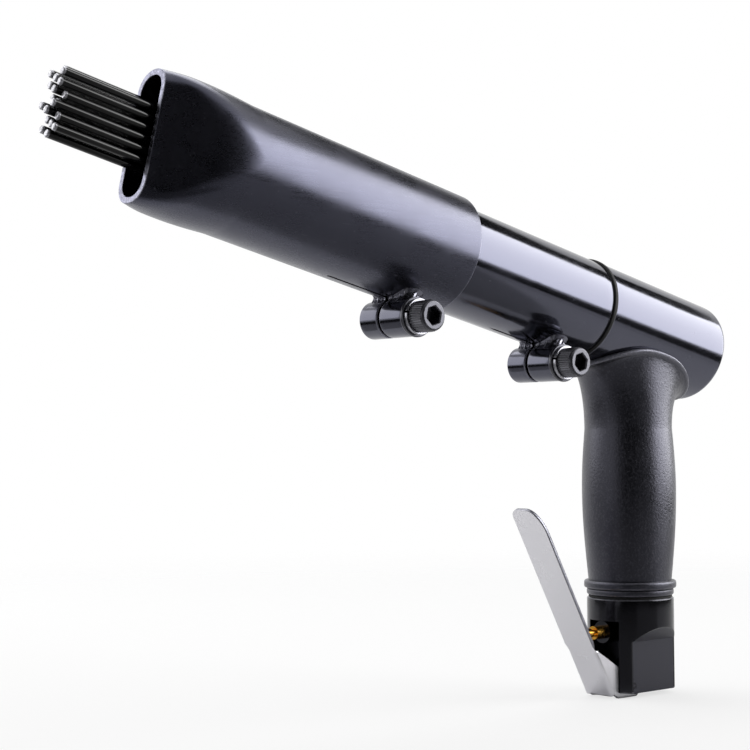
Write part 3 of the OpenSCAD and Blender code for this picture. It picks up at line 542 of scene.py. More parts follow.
@dataclass
class Head:
    """The casting behind the barrel: a round head with a stem that runs down inside the grip."""

    radius: float = HEAD_RADIUS
    back: float = -44.5
    front: float = 33.0
    back_round: float = 3.3
    front_round: float = 0.7
    bore: float = 18.0
    bore_end: float = -30.0
    bore_round: float = 0.5
    back_wear: float = 0.12
    front_wear: float = 0.8
    stem: float = 13.0
    stem_foot: float = 42.8
    stem_top: float = BARREL_HEIGHT - 8.0
    ring_width: float = 2.0
    ring: Pair = (20.6, 23.6)
    ring_round: float = 0.55
    ring_wear: float = 0.04
    segments: int = 256
    stem_segments: int = 96
    ring_segments: int = 192

    def build(self) -> list[Piece]:
        """Turn the head and its ring about the barrel, and the stem about the handle."""
        head, edge = rounded(
            [(self.back, 0.0, 0.0), (self.back, self.radius, self.back_round),
             (self.front, self.radius, self.front_round), (self.front, self.bore, self.bore_round),
             (self.bore_end, self.bore, self.bore_round), (self.bore_end, 0.0, 0.0)],
            steps=14,
        )
        outside = len(edge) // 2
        edge[:outside] *= np.where(head[:outside, 0] < 0, self.back_wear, self.front_wear)
        head, edge = refined(head, edge)
        stem, _ = rounded(
            [(self.stem_foot, 0.0, 0.0), (self.stem_foot, self.stem, 0.6), (self.stem_top, self.stem, 0.0),
             (self.stem_top, 0.0, 0.0)]
        )
        casting = (
            Shell()
            .grid(turn(head, Axis.BARREL, self.segments), edge, closed=True)
            .grid(turn(stem, Axis.HANDLE, self.stem_segments), closed=True)
            .build("head_casting", BLACKED_GROUND, "housing", ("pistol_body",), "tube_black")
        )
        ring, shine = band((self.front, self.front + self.ring_width), self.ring, self.ring_round, 0.0)
        rubber = (
            Shell()
            .grid(turn(ring, Axis.BARREL, self.ring_segments), self.ring_wear * shine, closed=True)
            .build("head_rubber_ring", SEAL_RUBBER, "housing", ("head_ring",), "seal_rubber")
        )
        return [casting, rubber]


@dataclass
class SlitTube:
    """A tube with a slit along its underside that a clamp can close."""

    name: str
    node: str
    body: str
    start: float
    end: float
    outer: float
    inner: float
    slit: float
    lip: Pair = (0.0, 0.0)
    lip_round: float = 0.3
    edge_round: float = 0.6
    finish: Finish = BLACKED_TUBE
    columns: int = 297
    row_step: float = 4.0

    @property
    def seam_end(self) -> float:
        """Place along the barrel up to which the columns start at the slit."""
        return math.inf

    def rows(self) -> tuple[Array, Array]:
        """Profile loop of the wall, (place, radius) of each row with the outer side first, and its edge values."""
        lip_t, lip_r = self.lip
        ease = self.edge_round
        foot = (self.start, (self.inner + self.outer) / 2, 0.0)
        inside = [(self.end, self.inner, ease)]
        if lip_t:
            step = self.end - lip_t
            inside = [(self.end, lip_r, ease), (step, lip_r, self.lip_round), (step, self.inner, self.lip_round)]
        outside = [foot, (self.start, self.outer, ease), (self.end, self.outer, ease)]
        return refined(*rounded(outside + inside + [(self.start, self.inner, ease), foot], steps=5), self.row_step)

    def angles(self, place: Array, radius: Array, turn_share: Array) -> Array:
        """Angle from straight down of each row and column, as section() takes them: the slit ends in a seam."""
        half = np.where(place < self.start + self.slit - 0.4, SLIT / 2, SEAM)
        back = place < self.seam_end
        first = (np.arcsin((CLAMP_Y + half) / radius) * back)[:, None]
        last = TURN + (np.arcsin((CLAMP_Y - half) / radius) * back)[:, None]
        return first + (last - first) * turn_share

    def section(self, place: Array, radius: Array, turn_share: Array) -> Array:
        """Points of the wall: a circle that starts and ends at the slit.

        Args:
            place: Place of each row along the barrel.
            radius: Radius of each row.
            turn_share: Share of the turn at each column, from 0 at one lip of the slit to 1 at the other.

        Returns:
            Points of shape (rows, columns, 3) in the row frame.
        """
        angle = self.angles(place, radius, turn_share)
        r = radius[:, None]
        return on_barrel(place[:, None], r * np.sin(angle), -r * np.cos(angle))

    def wear(self, place: Array, edge: Array, turn_share: Array) -> Array:
        """Edge value of each row and column: the same all round the tube."""
        return edge[:, None]

    def build(self) -> list[Piece]:
        """Carry the wall's profile round the barrel and close the slit's two faces."""
        loop, edge = self.rows()
        place, radius = loop.T
        shares = np.linspace(0.0, 1.0, self.columns)
        wall = self.section(place, radius, shares)
        shell = Shell().grid(wall, self.wear(place, edge, shares))
        outside = np.flatnonzero((np.abs(radius - self.outer) < 1e-6) & (place < self.start + self.slit))
        within = np.full(len(outside), self.inner)
        for column in (0, -1):
            facing = self.section(place[outside], within, shares[[column]])[:, 0]
            shell.grid(np.stack([wall[outside, column], facing]))
        return [shell.build(self.name, self.finish, self.body, (self.node,), "tube_black")]


@dataclass
class NozzleTube(SlitTube):
    """The front tube: a slit sleeve whose sides are pressed in towards its mouth."""

    nozzle: float = 232.0
    mouth_height: float = 52.0
    mouth_width: float = 18.5
    mouth_wall: float = 2.5
    swell: float = 0.9
    soft_mouth: float = 4.0
    soft_middle: float = 60.0
    slope: float = 0.27
    end_round: float = 0.88
    crown: float = 0.04
    edge_round: float = 0.35
    seam_gap: float = 40.0
    nozzle_step: float = 1.2
    rim_depth: float = 2.0
    side_wear: float = 0.04
    end_wear: float = 0.62
    end_share: Pair = (0.44, 0.54)

    @property
    def seam_end(self) -> float:
        """Place along the barrel up to which the columns start at the slit, well behind the nozzle."""
        return self.nozzle - self.seam_gap

    def rows(self) -> tuple[Array, Array]:
        """Profile loop of the wall, with close rows along the pressed part and a bare rim."""
        loop, edge = refined(*super().rows(), self.nozzle_step)
        rim = (loop[:, 0] > self.end - 0.25) & (loop[:, 1] > self.inner) & (loop[:, 1] < self.outer)
        return loop, np.where(rim, 1.0, edge)

    def wear(self, place: Array, edge: Array, turn_share: Array) -> Array:
        """Edge value of each row and column: at the mouth, the rim is light at its narrow ends and darker along its
        sides.
        """
        ends = self.side_wear + self.end_wear * smooth(*self.end_share, np.abs(np.cos(TURN * turn_share)))
        return edge[:, None] * np.where(place[:, None] > self.end - self.rim_depth, ends, 1.0)

    @staticmethod
    def soft_least(a: Array, b: Array, soft: Array) -> Array:
        """The lesser of two lengths, with a change from one to the other that is as soft as a third length."""
        least = np.minimum(a, b)
        reach = np.minimum(least, soft)
        blend = np.maximum(reach - np.abs(a - b), 0.0) / np.maximum(reach, 1e-6)
        return least - blend**2 * reach / 4

    def section(self, place: Array, radius: Array, turn_share: Array) -> Array:
        """Points of the wall: a round sleeve, and in front of it the pressed nozzle.

        The pressed half width falls by a curve of the fourth power, which leaves the sleeve without a corner and
        meets the mouth at a gentle slope. Each point of the circle is drawn in to it with a soft change. The top
        and bottom swell out a little, and they are rounded off more and more towards the mouth. What goes in and
        comes out is as in SlitTube.
        """
        angle = self.angles(place, radius, turn_share)
        run = self.end - self.nozzle
        t = np.clip((place - self.nozzle) / run, 0.0, 1.0)[:, None]
        r = radius[:, None]
        inset = np.clip((self.outer - r) / (self.outer - self.inner), 0.0, 1.0) * self.mouth_wall
        mouth = self.mouth_width / 2 - inset
        steep = self.slope * run / (r - mouth)
        pressed = mouth + (r - mouth) * (1 - (4 - steep) * t**3 + (3 - steep) * t**4)
        soft = t**2 * (self.soft_mouth + self.soft_middle * (1 - t) ** 2)
        top = r + (self.mouth_height / 2 - inset - r) * t + self.swell * np.sin(math.pi * t)
        end = self.end_round * pressed * t**2
        z = -top * np.cos(angle)
        past = np.maximum(np.abs(z) - top + end, 0.0)
        flank = pressed - end + np.sqrt(np.maximum(end**2 - past**2, 0.0))
        circle = np.abs(r * np.sin(angle))
        side = self.soft_least(circle, flank * (1 - self.crown * np.cos(angle) ** 2), soft)
        return on_barrel(place[:, None], np.sign(np.sin(angle)) * np.where(t > 0, side, circle), z)


@dataclass
class Clamp:
    """A clamp: two welded lugs, a socket screw, a flat washer and a spring washer.

    Attributes:
        near_weld: Share of the near lug that its weld bead covers, and the phase of the bead's lumps.
        far_weld: The same on the far lug.
        neck: Half width of a bead on the lug, how much narrower it is in the middle and wider at the tube.
        lumps: Waves along a bead, waves up it, share of its phase and height of each set of lumps.
    """

    which: str
    body: str
    place: float
    tube: float
    lug: float = 7.8
    drop: float = 8.0
    near: float = 13.5
    near_bore: float = 4.3
    far: float = 11.0
    far_bore: float = 4.05
    screw: float = 4.0
    head: float = 6.5
    head_height: float = 8.0
    socket: float = 6.8
    washer: float = 1.5
    washer_radii: Pair = (4.3, 8.175)
    spring: float = 1.9
    spring_radii: Pair = (4.1, 7.4)
    spring_gap: float = 0.06
    ridges: int = 40
    segments: int = 128
    shank_segments: int = 64
    near_weld: Pair = (0.92, 1.7)
    far_weld: Pair = (0.96, 4.1)
    neck: Triple = (5.6, 1.5, 1.2)
    bead_run: float = 0.36
    bead_sink: float = 0.6
    bead_lump: float = 0.35
    bead_hollow: float = 1.1
    lumps: tuple[tuple[float, ...], ...] = ((9.3, 0.6, 1.0, 0.5), (5.1, -0.4, 2.3, 0.35), (17.0, 1.1, 0.7, 0.25))

    @property
    def centre(self) -> Pair:
        """Place along the barrel and height of the screw's axis."""
        return self.place, -self.tube - self.drop

    @property
    def seats(self) -> Triple:
        """Places across the barrel of the flat washer's two faces and of the screw's seat."""
        face = NEAR_LIP + self.near
        return face, face + self.washer, face + self.washer + self.spring

    def build(self) -> list[Piece]:
        """Build the lugs with their welds, the screw and the two washers."""
        return [self.lugs(), self.welds(), self.socket_screw(), self.flat_washer(), self.spring_washer()]

    def piece(self, shell: Shell, name: str, finish: Finish, node: str, slot: str, crease: float = 38.0) -> Piece:
        """Build a piece of this clamp as Shell.build() does; the clamp's name goes before the piece's and node's."""
        return shell.build(f"{self.which}_{name}", finish, self.body, (f"{self.which}_{node}",), slot, crease)

    def lugs(self) -> Piece:
        """Turn the two bored lugs about the screw's axis."""
        shell = Shell()
        near, far = (NEAR_LIP, NEAR_LIP + self.near), (FAR_LIP - self.far, FAR_LIP)
        for faces, bore in ((near, self.near_bore), (far, self.far_bore)):
            profile, edge = refined(*band(faces, (bore, self.lug), 0.7, 0.3), 3.0)
            shell.grid(turn(profile, Axis.CROSSWAYS, self.segments, self.centre), 0.5 * edge, closed=True)
        return self.piece(shell, "lugs", BLACKED_GROUND, "clamp_lugs", "tube_black")

    def welds(self) -> Piece:
        """Lay a weld bead on each lug."""
        shell = Shell()
        for start, lug, weld in ((NEAR_LIP, self.near, self.near_weld), (FAR_LIP, -self.far, self.far_weld)):
            share, seed = weld
            self.bead(shell, start, lug * share, seed)
        return shell.build(f"{self.which}_weld_beads", ARC_WELD, self.body, (), "tube_black", 60.0)

    def bead(self, shell: Shell, start: float, reach: float, seed: float) -> None:
        """Lay a lumpy bead between the lug and the tube: along one side, round the end and back.

        Each column is a curve from the lug's surface up to the tube's. It is hollow like a fillet, and lumps of
        several lengths swell it unevenly along the bead, as the weld pool set.

        Args:
            shell: Shell that gets the bead.
            start: Place across the barrel where the bead starts, at the slit.
            reach: Length of the bead across the barrel, with its sign.
            seed: Phase of its lumps.
        """
        way, up = np.linspace(0.0, 1.0, 241), np.linspace(0.0, 1.0, 21)[:, None]
        run, bend = self.bead_run, 1 - 2 * self.bead_run
        corner = np.clip((way - run) / bend, 0.0, 1.0) * math.pi
        out = np.interp(way, [0, run, run + bend, 1], [0, 1, 1, 0]) * (1 - bend) + bend * np.sin(corner)
        lump = sum(size * np.sin(TURN * (n * way + m * up) + p * seed) for n, m, p, size in self.lumps)
        bulge = np.sin(math.pi * up)
        foot, waist, flare = self.neck
        neck = foot - waist * np.sin(math.pi * up * 0.8) + flare * up**2
        x = -np.cos(corner) * (neck + self.bead_lump * lump * np.sin(math.pi * np.clip(up * 1.05, 0, 1)))
        y = start + reach * out + np.sign(reach) * np.sin(corner) * bulge * (self.bead_lump * lump - self.bead_hollow)
        low = self.centre[1] + np.sqrt(np.maximum(self.lug**2 - x**2, 1.0)) - self.bead_sink
        high = self.bead_sink - np.sqrt(self.tube**2 - y**2)
        z = low + (high - low) * up + 0.2 * lump * bulge
        # The crests of the lumps are painted light and silvery: painted highlights
        crest_highlight = np.clip(1.7 * np.clip(lump - 0.25, 0.0, 1.0) * bulge**2, 0.0, 0.9)
        shell.grid(on_barrel(self.place + x, y, z), crest_highlight)

    def socket_screw(self) -> Piece:
        """Build the screw: a plain shank, a straight-knurled head and a hexagon socket.

        Each row of the head is a closed curve about the screw's axis: knurled rows dip between the ridges, and
        the socket's rows follow a hexagon.
        """
        seat, end, head = self.seats[2], FAR_LIP - self.far, self.head
        top = seat + self.head_height
        segments = self.ridges * 8
        angle = np.linspace(0.0, TURN, segments, endpoint=False)
        dip = 0.5 - 0.5 * np.cos(angle * self.ridges)
        sixth = math.pi / 3
        hexagon = (self.socket / 2) / np.cos((angle + sixth / 2) % sixth - sixth / 2)
        # (place, radius or distance outside the hexagon, knurl depth, whether a hexagon, edge value) of each row
        rows = np.array(
            [
                (seat, self.screw, 0, 0, 0), (seat, head - 0.45, 0, 0, 0), (seat + 0.25, head - 0.1, 0.1, 0, 0.5),
                (seat + 0.6, head, 0.34, 0, 0.35), (top - 1.75, head, 0.34, 0, 0.35),
                (top - 1.45, head - 0.12, 0.12, 0, 0.2), (top - 1.3, head - 0.3, 0, 0, 0),
                (top - 0.9, head - 0.3, 0, 0, 0), (top - 0.5, head - 0.42, 0, 0, 0.05),
                (top - 0.18, head - 0.72, 0, 0, 0.08), (top, head - 1.15, 0, 0, 0.12), (top, head - 1.2, 0, 0, 0.12),
                (top, 0.45, 0, 1, 0.12), (top - 0.1, 0.3, 0, 1, 0.3), (top - 0.6, 0.02, 0, 1, 0.1),
                (top - 0.7, 0, 0, 1, 0), (top - 4.4, 0, 0, 1, 0), (top - 5.2, 0, 0, 0, 0),
            ]
        )
        place, radius, knurl, six, edge = (rows[:, [k]] for k in range(5))
        reach = np.where(six > 0, hexagon + radius, radius - knurl * dip)
        ridge = edge * np.where(knurl > 0.2, 1.0 - dip, 1.0)
        stop = seat + 0.2
        shank, _ = rounded([(end, 0.0, 0.0), (end, self.screw, 0.5), (stop, self.screw, 0.0), (stop, 0.0, 0.0)])
        shell = (
            Shell()
            .grid(turn(np.hstack([place, reach]), Axis.CROSSWAYS, segments, self.centre), ridge, closed=True)
            .grid(turn(shank, Axis.CROSSWAYS, self.shank_segments, self.centre), closed=True)
        )
        return self.piece(shell, "socket_screw", BLACK_SCREW, "clamp_screw", "screw_black", 30.0)

    def flat_washer(self) -> Piece:
        """Turn the flat washer on the near lug."""
        ring, edge = band(self.seats[:2], self.washer_radii, 0.45, 0.2)
        shell = Shell().grid(turn(ring, Axis.CROSSWAYS, self.segments, self.centre), 0.3 * edge, closed=True)
        return self.piece(shell, "washer", BLACK_SCREW, "flat_washer", "screw_black")

    def spring_washer(self) -> Piece:
        """Turn the split spring washer through all but its gap, and close its two cut ends."""
        ring, edge = band(self.seats[1:], self.spring_radii, 0.35, 0.3)
        coil = turn(ring, Axis.CROSSWAYS, self.segments + 1, self.centre, self.spring_gap)
        shell = Shell().grid(coil, 0.4 * edge).plate(coil[:-1, 0]).plate(coil[:-1, -1])
        return self.piece(shell, "split_washer", BRIGHT_STEEL, "spring_washer", "bright_steel")


@dataclass
class Grip:
    """The rubber sleeve on the handle, with a bead, a collar, a swelling column and a saddle under the head.

    Attributes:
        lip_rows: How far each row of the saddle's lip lies inside the outer shell, or outside the head if it is
        negative, how far inside the outline, and its edge value: a painted highlight along the lip.
    """

    bore: float = 13.05
    foot: float = 43.0
    bead: float = 19.8
    bead_top: float = 45.7
    low: float = 18.9
    collar: float = 21.0
    collar_foot: float = 46.1
    collar_top: float = 49.5
    middle: float = 21.5
    middle_z: float = 91.0
    top: float = 20.0
    top_z: float = 119.0
    saddle_x: float = -4.0
    saddle_length: float = 65.0
    saddle_width: float = 45.0
    outer: float = HEAD_RADIUS + 2.4
    flare_inset: float = 1.3
    blunt: float = 2.5
    segments: int = 240
    lip_rows: tuple[Triple, ...] = (
        (0.0, 0.6, 0.2), (0.12, 0.2, 0.6), (0.45, 0.0, 0.7), (-0.5, 0.0, 0.35), (-0.06, 0.2, 0.0), (-0.06, 6.0, 0.0)
    )

    def column(self) -> tuple[Array, Array]:
        """Profile of the bead, the collar and the swelling column, with its edge values."""
        neck = self.low + 0.05
        foot, edge = rounded(
            [(self.foot, self.bore, 0.0), (self.foot, self.bead, 1.0), (self.bead_top, self.bead, 1.0),
             (self.bead_top, self.low, 0.2), (self.collar_foot, self.low, 0.2), (self.collar_foot, self.collar, 1.0),
             (self.collar_top, self.collar, 1.2), (self.collar_top + 0.2, neck, 0.8)]
        )
        up = np.linspace(0.0, 1.0, 40)
        start = self.collar_top + 0.3
        swell = stacked(start + (self.middle_z - start) * up, neck + (self.middle - neck) * np.sin(up * QUARTER))
        drawn_in = (self.middle - self.top) * (1 - np.cos(up * QUARTER))
        waist = stacked(self.middle_z + (self.top_z - self.middle_z) * up, self.middle - drawn_in)[1:]
        return np.concatenate([foot, swell, waist]), np.pad(edge, (0, len(swell) + len(waist)))

    def rim(self, shell: float, inset: float) -> Array:
        """The saddle's outline, a blunt ellipse on the sleeve's outer shell, carried straight in to another shell.

        Args:
            shell: Radius of that shell.
            inset: How far the line lies inside the outline.

        Returns:
            Points of shape (segments, 3) in the row frame.
        """
        angle = np.linspace(0.0, TURN, self.segments, endpoint=False)
        power = 2.0 / self.blunt
        c, s = np.cos(angle), np.sin(angle)
        x = self.saddle_x + (self.saddle_length / 2 - inset) * np.sign(c) * np.abs(c) ** power
        y = (self.saddle_width / 2 - inset) * np.sign(s) * np.abs(s) ** power
        share = y / self.outer
        return on_barrel(x, shell * share, -shell * np.sqrt(1.0 - share**2))

    def build(self) -> list[Piece]:
        """Turn the column, flare it out to the saddle and round the saddle's lip down on to the head."""
        profile, edge = self.column()
        column = turn(profile, Axis.HANDLE, self.segments)
        t = np.linspace(0.0, QUARTER, 26)[1:, None]
        sweep = stacked(1 - np.cos(t), 1 - np.cos(t), np.sin(t))
        flare = column[-1] + (self.rim(self.outer, self.flare_inset) - column[-1]) * sweep
        lip = [
            self.rim((self.outer if depth >= 0 else HEAD_RADIUS) - depth, inset) for depth, inset, _ in self.lip_rows
        ]
        # the bead, the collar and above all the saddle's lip are painted lighter along their edges: a painted
        # highlight
        shine = np.concatenate([0.2 * edge, np.zeros(len(flare)), [worn for _, _, worn in self.lip_rows]])
        sleeve = (
            Shell()
            .grid(np.concatenate([column, flare, lip]), shine, closed=True)
            .build("rubber_grip", MOULDED_RUBBER, "housing", ("grip_sleeve",), "grip_rubber", 50.0)
        )
        return [sleeve]


@dataclass
class Block:
    """The valve block at the foot of the handle, with spanner flats, a lever slot and the air inlet."""

    radius: float = 19.8
    height: float = 42.0
    flat: float = 13.35
    flat_top: float = 23.0
    slot: float = 8.7
    slot_back: float = 7.5
    slot_top: float = 32.0
    shoulder: float = 36.0
    inlet: float = 5.7
    inlet_depth: float = 13.0
    spigot: float = 9.0
    spigot_bore: float = 4.0
    spigot_top: float = 55.0
    edge_round: float = 0.9
    foot_z: tuple[float, ...] = (0.0, 0.12, 0.4, 0.9)
    foot_ease: tuple[float, ...] = (0.55, 0.25, 0.06)
    foot_wear: float = 0.35
    # Edge value along the rounded top edge: a painted highlight
    top_edge_highlight: float = 0.2
    foot_worn: float = 0.5
    satin_depth: float = 0.6
    pin_hole: float = 1.25
    columns: int = 40
    arc_columns: int = 41
    slot_columns: int = 12
    inlet_segments: int = 72
    spigot_segments: int = 96

    def _half_outline(self, limit: Array, radius: Array) -> Array:
        """One side's outline from the slot's lip over the front arc, the flat and the rear arc, by row.

        Args:
            limit: Distance of the flat from the middle at each row.
            radius: Radius of the block at each row.

        Returns:
            Points of shape (rows, columns, 2).
        """
        lip = np.arcsin(self.slot / radius)[:, None]
        corner = np.arcsin(np.minimum(limit / radius, 0.9995))[:, None]
        share = np.linspace(0.0, 1.0, self.columns)
        front = lip + (corner - lip) * share
        flat = corner + (math.pi - 2 * corner) * share[1:]
        rear = math.pi - corner + corner * share[1:]
        angle, r = np.concatenate([front, flat, rear], axis=1), radius[:, None]
        return stacked(r * np.cos(angle), np.minimum(r * np.sin(angle), limit[:, None]))

    def _wall(self, z: Array, radius: Array) -> Array:
        """The outside from one lip of the slot round the rear to the other, for rows of given height and radius."""
        half = self._half_outline(self.flat + np.maximum(z - self.flat_top, 0.0), radius)
        loop = np.concatenate([half, half[:, -2::-1] * np.array([1.0, -1.0])], axis=1)
        return stacked(loop[..., 0], loop[..., 1], z[:, None])

    def _front_arc(self, z: Array, radius: Array) -> Array:
        """The outside above the slot's mouth between its lips, for rows of given height and radius."""
        lip, r = np.arcsin(self.slot / radius)[:, None], radius[:, None]
        angle = -lip + 2 * lip * np.linspace(0.0, 1.0, self.arc_columns)[1:-1]
        return stacked(r * np.cos(angle), r * np.sin(angle), z[:, None])

    def _cheek(self, lip: Array, z: Array, sign: float) -> Array:
        """One side of the slot, from its lip to its back."""
        x = lip[:, :1] + (self.slot_back - lip[:, :1]) * np.linspace(0.0, 1.0, self.slot_columns)
        return stacked(x, sign * self.slot, z[:, None])

    def _satin(self, wall: Array) -> Array:
        """Satin value of the outside's points: 1 on the milled flats and their run-out."""
        reach = np.hypot(wall[..., 0], wall[..., 1])
        return (reach < self.radius - self.satin_depth).astype(float).reshape(-1)

    def build(self) -> list[Piece]:
        """Raise the block's outline row by row and close its slot, its faces and its inlet."""
        sides = np.linspace(2.0, self.flat_top, 14), np.linspace(self.flat_top, self.slot_top, 28)[1:]
        z = np.concatenate([self.foot_z, *sides])
        wall = self._wall(z, self.radius - np.pad(self.foot_ease, (0, len(z) - len(self.foot_ease))))
        bend = np.linspace(0.0, QUARTER, 9)[1:]
        brow = self.height - self.edge_round
        z_top = np.concatenate([[self.slot_top, self.shoulder, brow], brow + self.edge_round * np.sin(bend)])
        r_top = self.radius - self.edge_round * np.pad(1 - np.cos(bend), (3, 0))
        shoulder = np.concatenate([self._wall(z_top, r_top), self._front_arc(z_top, r_top)], axis=1)
        cheek, other = self._cheek(wall[:, 0], z, 1.0), self._cheek(wall[:, -1], z, -1.0)
        slot_rear = stacked(self.slot_back, np.linspace(self.slot, -self.slot, self.slot_columns), z[:, None])
        notch = np.concatenate([cheek[0, 1:], slot_rear[0, 1:], other[0, -2:0:-1]])
        brim = self._front_arc(z[-1:], np.array([self.radius]))[0]
        ceiling = np.concatenate([cheek[-1], slot_rear[-1, 1:-1], other[-1, ::-1], brim])
        bore = np.array([(0.0, self.inlet), (self.inlet_depth, self.inlet), (self.inlet_depth, 0.0)])
        inlet = turn(refined(bore, np.zeros(3))[0], Axis.HANDLE, self.inlet_segments)
        spigot = [(self.height, self.spigot), (self.spigot_top, self.spigot), (self.spigot_top, self.spigot_bore)]
        collar = turn(np.array(spigot), Axis.HANDLE, self.spigot_segments)
        shell = (
            Shell()
            .grid(wall, np.where(z < self.foot_worn, self.foot_wear, 0.0))
            # the rounded top edge gets a painted highlight, drawn as edge wear
            .grid(shoulder, np.pad(self.top_edge_highlight * np.sin(2 * bend), (3, 0)), closed=True)
            .grid(cheek)
            .grid(other)
            .grid(slot_rear)
            .plate(np.concatenate([wall[0], notch[::-1]]), inlet[0])
            .plate(ceiling)
            .plate(shoulder[-1], collar[0])
            .grid(collar, closed=True)
            .plate(collar[-1])
            .grid(inlet, closed=True)
        )
        shell.satin[0] = self._satin(wall)
        block = shell.build("valve_block_body", BLACKED_BLOCK, "housing", ("valve_block",), "block_black", 28.0)
        self.drill(block)
        return [block]

    def drill(self, block: Piece) -> None:
        """Drill the hinge pin's hole right through the block."""
        angle = np.linspace(0.0, TURN, 40, endpoint=False)
        x, z = PIN_X + self.pin_hole * np.cos(angle), PIN_Z + self.pin_hole * np.sin(angle)
        rod = stacked(x, self.radius * np.array([[-1.0], [1.0]]), z)
        index = np.arange(2 * len(angle)).reshape(2, -1)
        mesh = mesh_of("pin_drill", rod * MM, quads(index, closed=True) + [index[0, ::-1].tolist(), index[1].tolist()])
        drill = bpy.data.objects.new("pin_drill", mesh)
        cut = block.modifiers.new("pin_hole", "BOOLEAN")
        cut.object = drill
        cut.solver = "EXACT"
        whole = block.data
        block.data = bpy.data.meshes.new_from_object(block.evaluated_get(bpy.context.evaluated_depsgraph_get()))
        block.modifiers.clear()
        bpy.data.objects.remove(drill)
        for spare in (mesh, whole):
            bpy.data.meshes.remove(spare)


@dataclass
class Lever:
    """The pressed throttle lever: a strip with a rounded end, two ears and a toe below the block.

    Attributes:
        far_tip: Length of the tip's rounding on the far side, and share of the half width that it takes.
        near_tip: The same on the near side.
        fold_run: How far below and above the top of the ears the fold at the strip's edges eases out.
        ear_arc: Angles in degrees at which the ear's round about the pin starts and ends.
    """

    lean: float = math.radians(28.9)
    length: float = 96.5
    half: float = 8.3
    reach: float = 9.9
    sheet: float = 1.6
    bend: float = 1.5
    far_tip: Pair = (4.0, 0.45)
    near_tip: Pair = (12.0, 0.99)
    ear_rise: float = 23.5
    ear_knee: float = 0.4
    ear: float = 4.6
    toe_drop: float = 2.2
    toe_back: float = 8.4
    toe_top: float = -0.3
    fold_run: Pair = (2.0, 3.0)
    ear_arc: Pair = (205.0, 120.0)

    def place(self, up: Array, across: Array | float, out: Array | float) -> Array:
        """Turn places up the lever, across it and out from the pin's line into the row frame."""
        c, s = math.cos(self.lean), math.sin(self.lean)
        return stacked(PIN_X + out * c + up * s, across, PIN_Z - out * s + up * c)

    def ear_outline(self, count: int) -> Array:
        """The ear's free outline in the side view, from the toe round the pin to the top of the ear, evenly spaced."""
        angle = np.radians(np.linspace(*self.ear_arc, 12))
        rise = self.ear_rise * np.array([self.ear_knee, 1.0])
        tops = self.place(rise, 0.0, np.array([0.0, self.reach - self.sheet]))[:, [0, 2]]
        drop, back = self.toe_drop, PIN_X - self.toe_back
        toe = [
            (PIN_X + self.ear, -drop), (PIN_X - self.toe_back * 0.85, -drop), (back, -drop * 0.6),
            (back, self.toe_top), (PIN_X - self.ear * 0.9, self.toe_top),
        ]
        round_pin = stacked(PIN_X + self.ear * np.cos(angle), PIN_Z + self.ear * np.sin(angle))
        line = np.concatenate([toe, round_pin, tops])
        walked = np.concatenate([[0.0], np.cumsum(np.linalg.norm(np.diff(line, axis=0), axis=1))])
        at = np.linspace(0.0, walked[-1], count)
        return stacked(*(np.interp(at, walked, row) for row in line.T))

    def tip_width(self, up: Array, side: float) -> Array:
        """Share of the half width left on one side at places up the lever: a quarter of an ellipse at the tip."""
        length, loss = self.near_tip if side > 0 else self.far_tip
        over = np.clip(up - (self.length - length), 0.0, length) / length
        return (1.0 - loss * (1.0 - np.sqrt(1.0 - over**2)))[:, None]

    def build(self) -> list[Piece]:
        """Lay out the outer face of the sheet, fold its ears and give it its thickness inwards."""
        tip = self.near_tip[0]
        up = np.concatenate(
            [
                np.linspace(0.0, self.ear_rise, 40),
                np.linspace(self.ear_rise, self.length - tip, 40)[1:],
                self.length - tip * (1 - np.sin(np.linspace(0.0, QUARTER, 24)[1:])),
            ]
        )
        u, inner = up[:, None], self.half - self.bend
        flat = np.linspace(-1.0, 1.0, 17) * inner
        width = np.where(flat > 0, self.tip_width(up, 1.0), self.tip_width(up, -1.0))
        shell = Shell().grid(self.place(u, flat * width, self.reach))
        t = np.linspace(0.0, 1.0, 8)
        fold = 1.0 - smooth(self.ear_rise - self.fold_run[0], self.ear_rise + self.fold_run[1], u)
        y = inner + self.bend * (fold * np.sin(t * QUARTER) + (1 - fold) * t)
        out = self.reach - self.bend * fold * (1 - np.cos(t * QUARTER))
        ears = up <= self.ear_rise + 1e-9
        outline = self.ear_outline(int(ears.sum()))
        share = np.linspace(0.0, 1.0, 16)[:, None]
        for sign in (1.0, -1.0):
            corner = self.place(u, sign * y * self.tip_width(up, sign), out)
            start = corner[ears, -1:]
            free = stacked(outline[:, :1], sign * self.half, outline[:, 1:])
            shell.grid(corner).grid(start + (free - start) * share)
        lever = shell.build("pressed_lever", PLATED_SHEET, "lever", ("throttle_lever",), "lever_steel", 40.0)
        self.face_out(lever.data)
        wall = lever.modifiers.new("sheet", "SOLIDIFY")
        wall.thickness = self.sheet * MM
        wall.offset = -1.0
        wall.material_offset_rim = 1
        lever.data.materials.append(SHEARED_EDGE.material())
        return [lever]

    def face_out(self, mesh: bpy.types.Mesh) -> None:
        """Turn the open sheet's faces to its outer side, away from the handle."""
        count = len(mesh.polygons)
        normals, areas = np.empty(count * 3), np.empty(count)
        mesh.polygons.foreach_get("normal", normals)
        mesh.polygons.foreach_get("area", areas)
        outward = np.array([math.cos(self.lean), 0.0, -math.sin(self.lean)])
        if (normals.reshape(-1, 3) @ outward * areas).sum() < 0:
            mesh.flip_normals()


